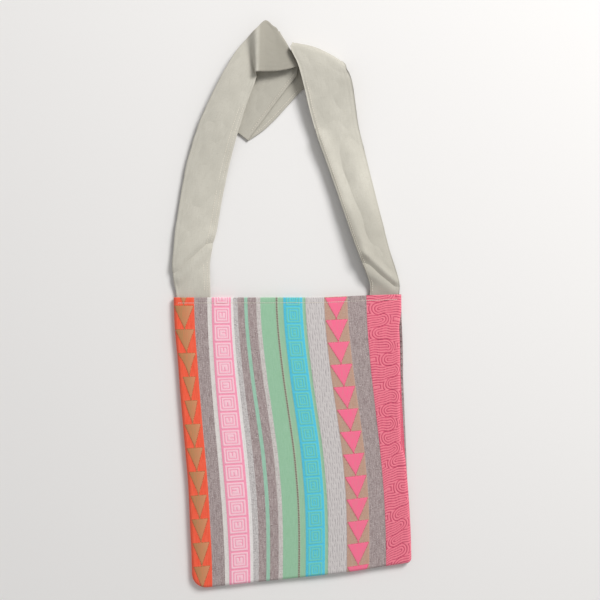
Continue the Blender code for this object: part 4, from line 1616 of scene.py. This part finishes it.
@dataclass
class Stitching:
    """Rows of short thread stitches laid along lines on the bag, each made by Geometry Nodes."""

    length: float = 2.3 * MM
    width: float = 0.7 * MM
    height: float = 0.5 * MM
    wander: float = 0.06
    seed: int = 7

    def stitch(self) -> bpy.types.Object:
        """Return one stitch: a short rounded bar of thread along X.

        Returns:
            The stitch, outside the scene.
        """
        rings, around = 5, 8
        points, faces = [(-self.length / 2, 0.0, 0.0)], []
        for i in range(1, rings + 1):
            angle = math.pi * i / (rings + 1)
            x, r = -math.cos(angle) * self.length / 2, math.sin(angle) ** 0.6
            for j in range(around):
                turn = 2 * math.pi * j / around
                points.append((x, math.cos(turn) * r * self.width / 2, math.sin(turn) * r * self.height / 2))
        points.append((self.length / 2, 0.0, 0.0))
        for j in range(around):
            k = (j + 1) % around
            faces.append((0, 1 + k, 1 + j))
            for i in range(rings - 1):
                a = 1 + i * around
                faces.append((a + j, a + k, a + around + k, a + around + j))
            last = 1 + (rings - 1) * around
            faces.append((last + j, last + k, len(points) - 1))
        mesh = bpy.data.meshes.new("stitch")
        mesh.from_pydata(points, [], faces)
        mesh.shade_smooth()
        return bpy.data.objects.new("stitch", mesh)

    def tree(self) -> bpy.types.NodeTree:
        """Return the node tree that repeats a stitch along lines, with its spacing as an input.

        Returns:
            The tree.
        """
        tree = bpy.data.node_groups.new("stitch_row", "GeometryNodeTree")
        for name, kind in (
            ("Line", "NodeSocketGeometry"),
            ("Stitch", "NodeSocketObject"),
            ("Thread", "NodeSocketMaterial"),
            ("Spacing", "NodeSocketFloat"),
            ("Wander", "NodeSocketFloat"),
            ("Seed", "NodeSocketInt"),
        ):
            tree.interface.new_socket(name, in_out="INPUT", socket_type=kind)
        tree.interface.new_socket("Stitches", in_out="OUTPUT", socket_type="NodeSocketGeometry")
        given = tree.nodes.new("NodeGroupInput").outputs
        curve = add_node(tree, "GeometryNodeMeshToCurve", Mesh=given["Line"]).outputs["Curve"]
        even = add_node(
            tree, "GeometryNodeResampleCurve", {"mode": "LENGTH"}, Curve=curve, Length=given["Spacing"]
        )
        tangent = add_node(tree, "GeometryNodeInputTangent").outputs["Tangent"]
        up = add_node(tree, "GeometryNodeInputNamedAttribute", {"data_type": "FLOAT_VECTOR"}, Name="up")
        turn = add_node(
            tree,
            "FunctionNodeAxesToRotation",
            {"primary_axis": "Z", "secondary_axis": "X"},
            in_0=up.outputs["Attribute"],
            in_1=tangent,
        ).outputs["Rotation"]
        low = add_node(tree, "ShaderNodeMath", {"operation": "MULTIPLY"}, in_0=given["Wander"], in_1=-1.0)
        wander = add_node(
            tree,
            "FunctionNodeRandomValue",
            {"data_type": "FLOAT"},
            Min=low.outputs["Value"],
            Max=given["Wander"],
            Seed=given["Seed"],
        )
        tilt = add_node(tree, "ShaderNodeCombineXYZ", Z=wander.outputs[1])
        tilted = add_node(tree, "FunctionNodeEulerToRotation", in_0=tilt.outputs["Vector"])
        placed = add_node(
            tree,
            "FunctionNodeRotateRotation",
            {"rotation_space": "LOCAL"},
            in_0=turn,
            in_1=tilted.outputs["Rotation"],
        )
        shape = add_node(tree, "GeometryNodeObjectInfo", Object=given["Stitch"]).outputs["Geometry"]
        many = add_node(
            tree,
            "GeometryNodeInstanceOnPoints",
            Points=even.outputs["Curve"],
            Instance=shape,
            Rotation=placed.outputs["Rotation"],
        )
        real = add_node(tree, "GeometryNodeRealizeInstances", Geometry=many.outputs["Instances"])
        dressed = add_node(
            tree, "GeometryNodeSetMaterial", Geometry=real.outputs["Geometry"], Material=given["Thread"]
        )
        done = tree.nodes.new("NodeGroupOutput")
        tree.links.new(dressed.outputs["Geometry"], done.inputs["Stitches"])
        return tree

    def sew(
        self, tree: bpy.types.NodeTree, stitch: bpy.types.Object, row: Row, thread: bpy.types.Material
    ) -> bpy.types.Object:
        """Sew one row of stitches along its line.

        Args:
            tree: The stitch tree.
            stitch: The stitch that is repeated.
            row: The row, whose stitches stand straight up where it gives no way out of the cloth.
            thread: The thread's material.

        Returns:
            The finished row.
        """
        count = len(row.line)
        links = [(i, i + 1) for i in range(count - 1)] + ([(count - 1, 0)] if row.closed else [])
        ups = np.tile([0.0, 0.0, 1.0], (count, 1)) if row.ups is None else row.ups
        line = bpy.data.meshes.new(row.name + "_line")
        line.from_pydata([tuple(point) for point in row.line.tolist()], links, [])
        directions = line.attributes.new("up", "FLOAT_VECTOR", "POINT")
        directions.data.foreach_set("vector", ups.astype(np.float32).ravel())
        holder = bpy.data.objects.new(row.name + "_holder", line)
        bpy.context.scene.collection.objects.link(holder)
        modifier = holder.modifiers.new("row", "NODES")
        modifier.node_group = tree
        sockets = {item.name: item.identifier for item in tree.interface.items_tree if item.in_out == "INPUT"}
        modifier[sockets["Stitch"]] = stitch
        modifier[sockets["Thread"]] = thread
        modifier[sockets["Spacing"]] = row.spacing
        modifier[sockets["Wander"]] = self.wander
        modifier[sockets["Seed"]] = self.seed
        holder.data.update()
        evaluated = holder.evaluated_get(bpy.context.evaluated_depsgraph_get())
        mesh = bpy.data.meshes.new_from_object(evaluated)
        holder.modifiers.clear()
        bpy.data.objects.remove(holder, do_unlink=True)
        mesh.name = row.name
        mesh.shade_smooth()
        piece = bpy.data.objects.new(row.name, mesh)
        bpy.context.scene.collection.objects.link(piece)
        return piece


@dataclass
class Bag:
    """The whole bag: two cloth panels, the strap and all of the stitching."""

    body: Body = field(default_factory=Body)
    stitch_gap: float = 0.1 * MM
    stitch_sink: float = 0.1 * MM
    hem_spacing: float = 2.6 * MM
    strap_spacing: float = 3.3 * MM
    seam_spacing: float = 3.4 * MM
    seam_inset: float = 0.9 * MM
    seam_below_strap: float = 0.014
    stitching_start: float = 0.008
    tack: tuple[float, float] = (0.028, 0.012)
    line_step: float = 4 * MM

    def build(self) -> None:
        """Make every piece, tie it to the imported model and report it."""
        front = Panel("front_cloth", Side.FRONT, self.body, 1.25 * MM, 1.0, 3.8 * MM)
        back = Panel("back_cloth", Side.BACK, self.body, 2.6 * MM, 2.4, 0.0, BACK_STRIPES)
        strap = Strap(self.body)
        back_piece = self.finished(back.build(), "striped_cloth", "back_panel")
        front_piece = self.finished(front.build(), "striped_cloth", "front_panel")
        strap_piece = self.finished(strap.build(), "strap_canvas", "shoulder_strap")
        strap.length()
        LOG.info("strap length: %.3f m", strap.length())
        self.sew(front, back, strap)

    def finished(self, piece: bpy.types.Object, slot: str, *nodes: str) -> bpy.types.Object:
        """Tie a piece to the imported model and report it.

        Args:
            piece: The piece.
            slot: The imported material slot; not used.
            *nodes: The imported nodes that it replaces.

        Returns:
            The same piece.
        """
        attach(piece, BODY)
        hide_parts(*nodes)
        LOG.info("%s: %d faces for %s", piece.name, len(piece.data.polygons), ", ".join(nodes))
        return piece

    def sew(self, front: Panel, back: Panel, strap: Strap) -> None:
        """Sew every row of stitches on the finished cloth.

        Args:
            front: The front panel.
            back: The back panel.
            strap: The strap.
        """
        sewing = Stitching()
        tree, stitch = sewing.tree(), sewing.stitch()
        threads = {word: thread.dress() for word, thread in THREADS.items()}
        half = sewing.height / 2
        rows = self.hem_rows(front, back, half) + self.seam_rows(strap) + self.tack_rows(strap, half)
        rows += self.strap_rows(strap, half) + self.tail_rows(strap, half)
        for row in rows:
            piece = sewing.sew(tree, stitch, row, threads[row.thread])
            self.finished(piece, "thread", *row.nodes)
        bpy.data.objects.remove(stitch, do_unlink=True)

    def hem_rows(self, front: Panel, back: Panel, half: float) -> list[Row]:
        """Lay the rows across both hems, on the front's outside and on the back's inside.

        Args:
            front: The front panel.
            back: The back panel.
            half: Half a stitch's height.

        Returns:
            The rows.
        """
        inset = self.body.edge_roll + 2 * self.body.cloth
        s = np.linspace(inset, self.body.width - inset, 480)
        t = np.full_like(s, self.body.hem_stitching)
        lift = np.array([0.0, 0.0, self.stitch_gap + half])
        lines = {"front": front.outer_points(s, t) + lift, "back": back.inner_points(s, t) + lift}
        return [
            Row(f"hem_row_{word}", (f"hem_stitching_{word}",), line, "cream", self.hem_spacing)
            for word, line in lines.items()
        ]

    def seam_rows(self, strap: Strap) -> list[Row]:
        """Lay the rows that join the panels inside the bag.

        Args:
            strap: The strap.

        Returns:
            The rows.
        """
        body = self.body
        away = body.cloth + self.seam_inset
        t = np.linspace(strap.tail + self.seam_below_strap, body.depth - body.left_corner, 120)
        s = np.linspace(body.left_corner, body.bottom_end, 120)
        rows = []
        for name, node, across, down in (
            ("side_row_left", "side_seam_left", np.full_like(t, away), t),
            ("side_row_right", "side_seam_right", body.right_edge(t) - away, t),
            ("bottom_row", "bottom_seam", s, np.full_like(s, body.depth - away)),
        ):
            x, y = body.place(across, down)
            line = np.stack([x, y, np.full_like(x, body.middle)], axis=1)
            rows.append(Row(name, (node,), line, "taupe", self.seam_spacing))
        return rows

    def tack_rows(self, strap: Strap, half: float) -> list[Row]:
        """Lay the boxes of thread that hold the strap's ends.

        Args:
            strap: The strap.
            half: Half a stitch's height.

        Returns:
            The rows.
        """
        x0, y0 = self.body.origin
        height = self.body.middle + strap.thickness / 2 + self.stitch_gap + half
        depth = y0 - (strap.tail + self.body.hem) / 2
        wide, high = self.tack[0] / 2, self.tack[1] / 2
        rows = []
        for side, word in ((-1, "left"), (1, "right")):
            x = x0 + strap.foot_values(side, 0.0)[0]
            corners = ((-wide, -high), (wide, -high), (wide, high), (-wide, high))
            line = np.array([(x + a, depth + b, height) for a, b in corners])
            nodes = (f"strap_tack_{word}",)
            rows.append(Row(f"tack_row_{word}", nodes, line, "natural", self.hem_spacing, closed=True))
        return rows

    def strap_rows(self, strap: Strap, half: float) -> list[Row]:
        """Lay the topstitching along the inner edges of the strap's two runs.

        Args:
            strap: The strap.
            half: Half a stitch's height.

        Returns:
            The rows.
        """
        away = strap.thickness / 2 - self.stitch_sink + half
        rows = []
        for sewn in strap.stitch_rows:
            share = -sewn.side * (1 - 2 * sewn.from_edge / strap.width)
            middle, ups, _ = strap.line_at(share, self.line_step)
            ups = ups * -sewn.side
            halfway = len(middle) // 2
            order = np.arange(halfway) if sewn.side < 0 else np.arange(len(middle) - 1, halfway, -1)
            up_plan = middle[order, 1] - self.body.origin[1]
            stop = int(np.argmax(up_plan > sewn.end))
            kept = order[:stop][up_plan[:stop] >= self.stitching_start]
            line, ups = middle[kept] + ups[kept] * away, ups[kept]
            rows.append(Row(sewn.node + "_row", (sewn.node,), line, "natural", self.strap_spacing, ups))
        return rows

    def tail_rows(self, strap: Strap, half: float) -> list[Row]:
        """Lay the topstitching that shows on the folded tail, on whichever face lies up there.

        Args:
            strap: The strap.
            half: Half a stitch's height.

        Returns:
            The rows.
        """
        share = 1 - 2 * strap.stitch_rows[0].from_edge / strap.width
        middle, normals, along = strap.line_at(share, self.line_step)
        rows = []
        for sewn in strap.tail_rows:
            kept = (along > sewn.start) & (along < sewn.end)
            ups = normals[kept] * np.sign(normals[kept, 2:])
            line = middle[kept] + ups * (strap.thickness / 2 - self.stitch_sink + half)
            rows.append(Row(sewn.name, (), line, "natural", self.strap_spacing, ups))
        return rows


@dataclass
class Studio:
    """A plain pale floor, a large soft light from the upper right, a white surround and the camera above."""

    floor_colour: str = "ECEAE8"
    floor_size: float = 14.0
    light_place: tuple[float, float, float] = (1.7, 2.0, 2.4)
    light_size: float = 1.2
    light_power: float = 106.0
    surround: float = 0.42
    camera_place: tuple[float, float, float] = (0.0112, 0.007, 1.3)
    frame_width: float = 0.84
    sensor: float = 36.0

    def build(self) -> None:
        """Set up the floor, the light, the surround and the camera."""
        self.lay_floor()
        self.hang_light()
        self.fill_surround()
        self.aim_camera()
        bpy.context.scene.view_settings.view_transform = "Standard"
        LOG.info("studio ready")

    def lay_floor(self) -> None:
        """Lay the pale floor that the bag lies on."""
        half = self.floor_size / 2
        corners = np.array([(-half, -half, 0.0), (half, -half, 0.0), (half, half, 0.0), (-half, half, 0.0)])
        # Off-white paper without any shine, on which soft shadows show.
        material, _, shader = new_material("matt_pale_paper")
        shader.inputs["Base Color"].default_value = linear(self.floor_colour)
        shader.inputs["Roughness"].default_value = 0.9
        floor = new_piece("floor", corners, [(0, 1, 2, 3)], [material])

    def hang_light(self) -> None:
        """Hang the soft light and point it at the bag."""
        data = bpy.data.lights.new("window", "AREA")
        data.size = self.light_size
        data.energy = self.light_power
        lamp = bpy.data.objects.new("window", data)
        lamp.location = self.light_place
        lamp.rotation_euler = (-Vector(self.light_place)).to_track_quat("-Z", "Y").to_euler()
        bpy.context.scene.collection.objects.link(lamp)

    def fill_surround(self) -> None:
        """Fill the surround with even light that the camera sees as white."""
        world = bpy.data.worlds.new("surround")
        world.use_nodes = True
        tree = world.node_tree
        back = tree.nodes["Background"]
        back.inputs["Color"].default_value = (1.0, 1.0, 1.0, 1.0)
        path = add_node(tree, "ShaderNodeLightPath").outputs
        seen = path["Is Camera Ray"]
        for other in ("Is Glossy Ray", "Is Transmission Ray"):
            either = add_node(tree, "ShaderNodeMath", {"operation": "MAXIMUM"}, in_0=seen, in_1=path[other])
            seen = either.outputs["Value"]
        strength = add_node(tree, "ShaderNodeMapRange", Value=seen, in_3=self.surround, in_4=1.0)
        tree.links.new(strength.outputs["Result"], back.inputs["Strength"])
        bpy.context.scene.world = world

    def aim_camera(self) -> None:
        """Place the camera straight above the bag, as in the photo."""
        data = bpy.data.cameras.new("camera")
        data.sensor_width = self.sensor
        data.lens = self.sensor * self.camera_place[2] / self.frame_width
        data.clip_start = 0.05
        camera = bpy.data.objects.new("camera", data)
        camera.location = self.camera_place
        bpy.context.scene.collection.objects.link(camera)
        bpy.context.scene.camera = camera


def main() -> None:
    """Build the bag and the studio."""
    logging.basicConfig(level=logging.INFO, format="%(message)s")
    Bag().build()
    Studio().build()


if __name__ == "__main__":
    main()
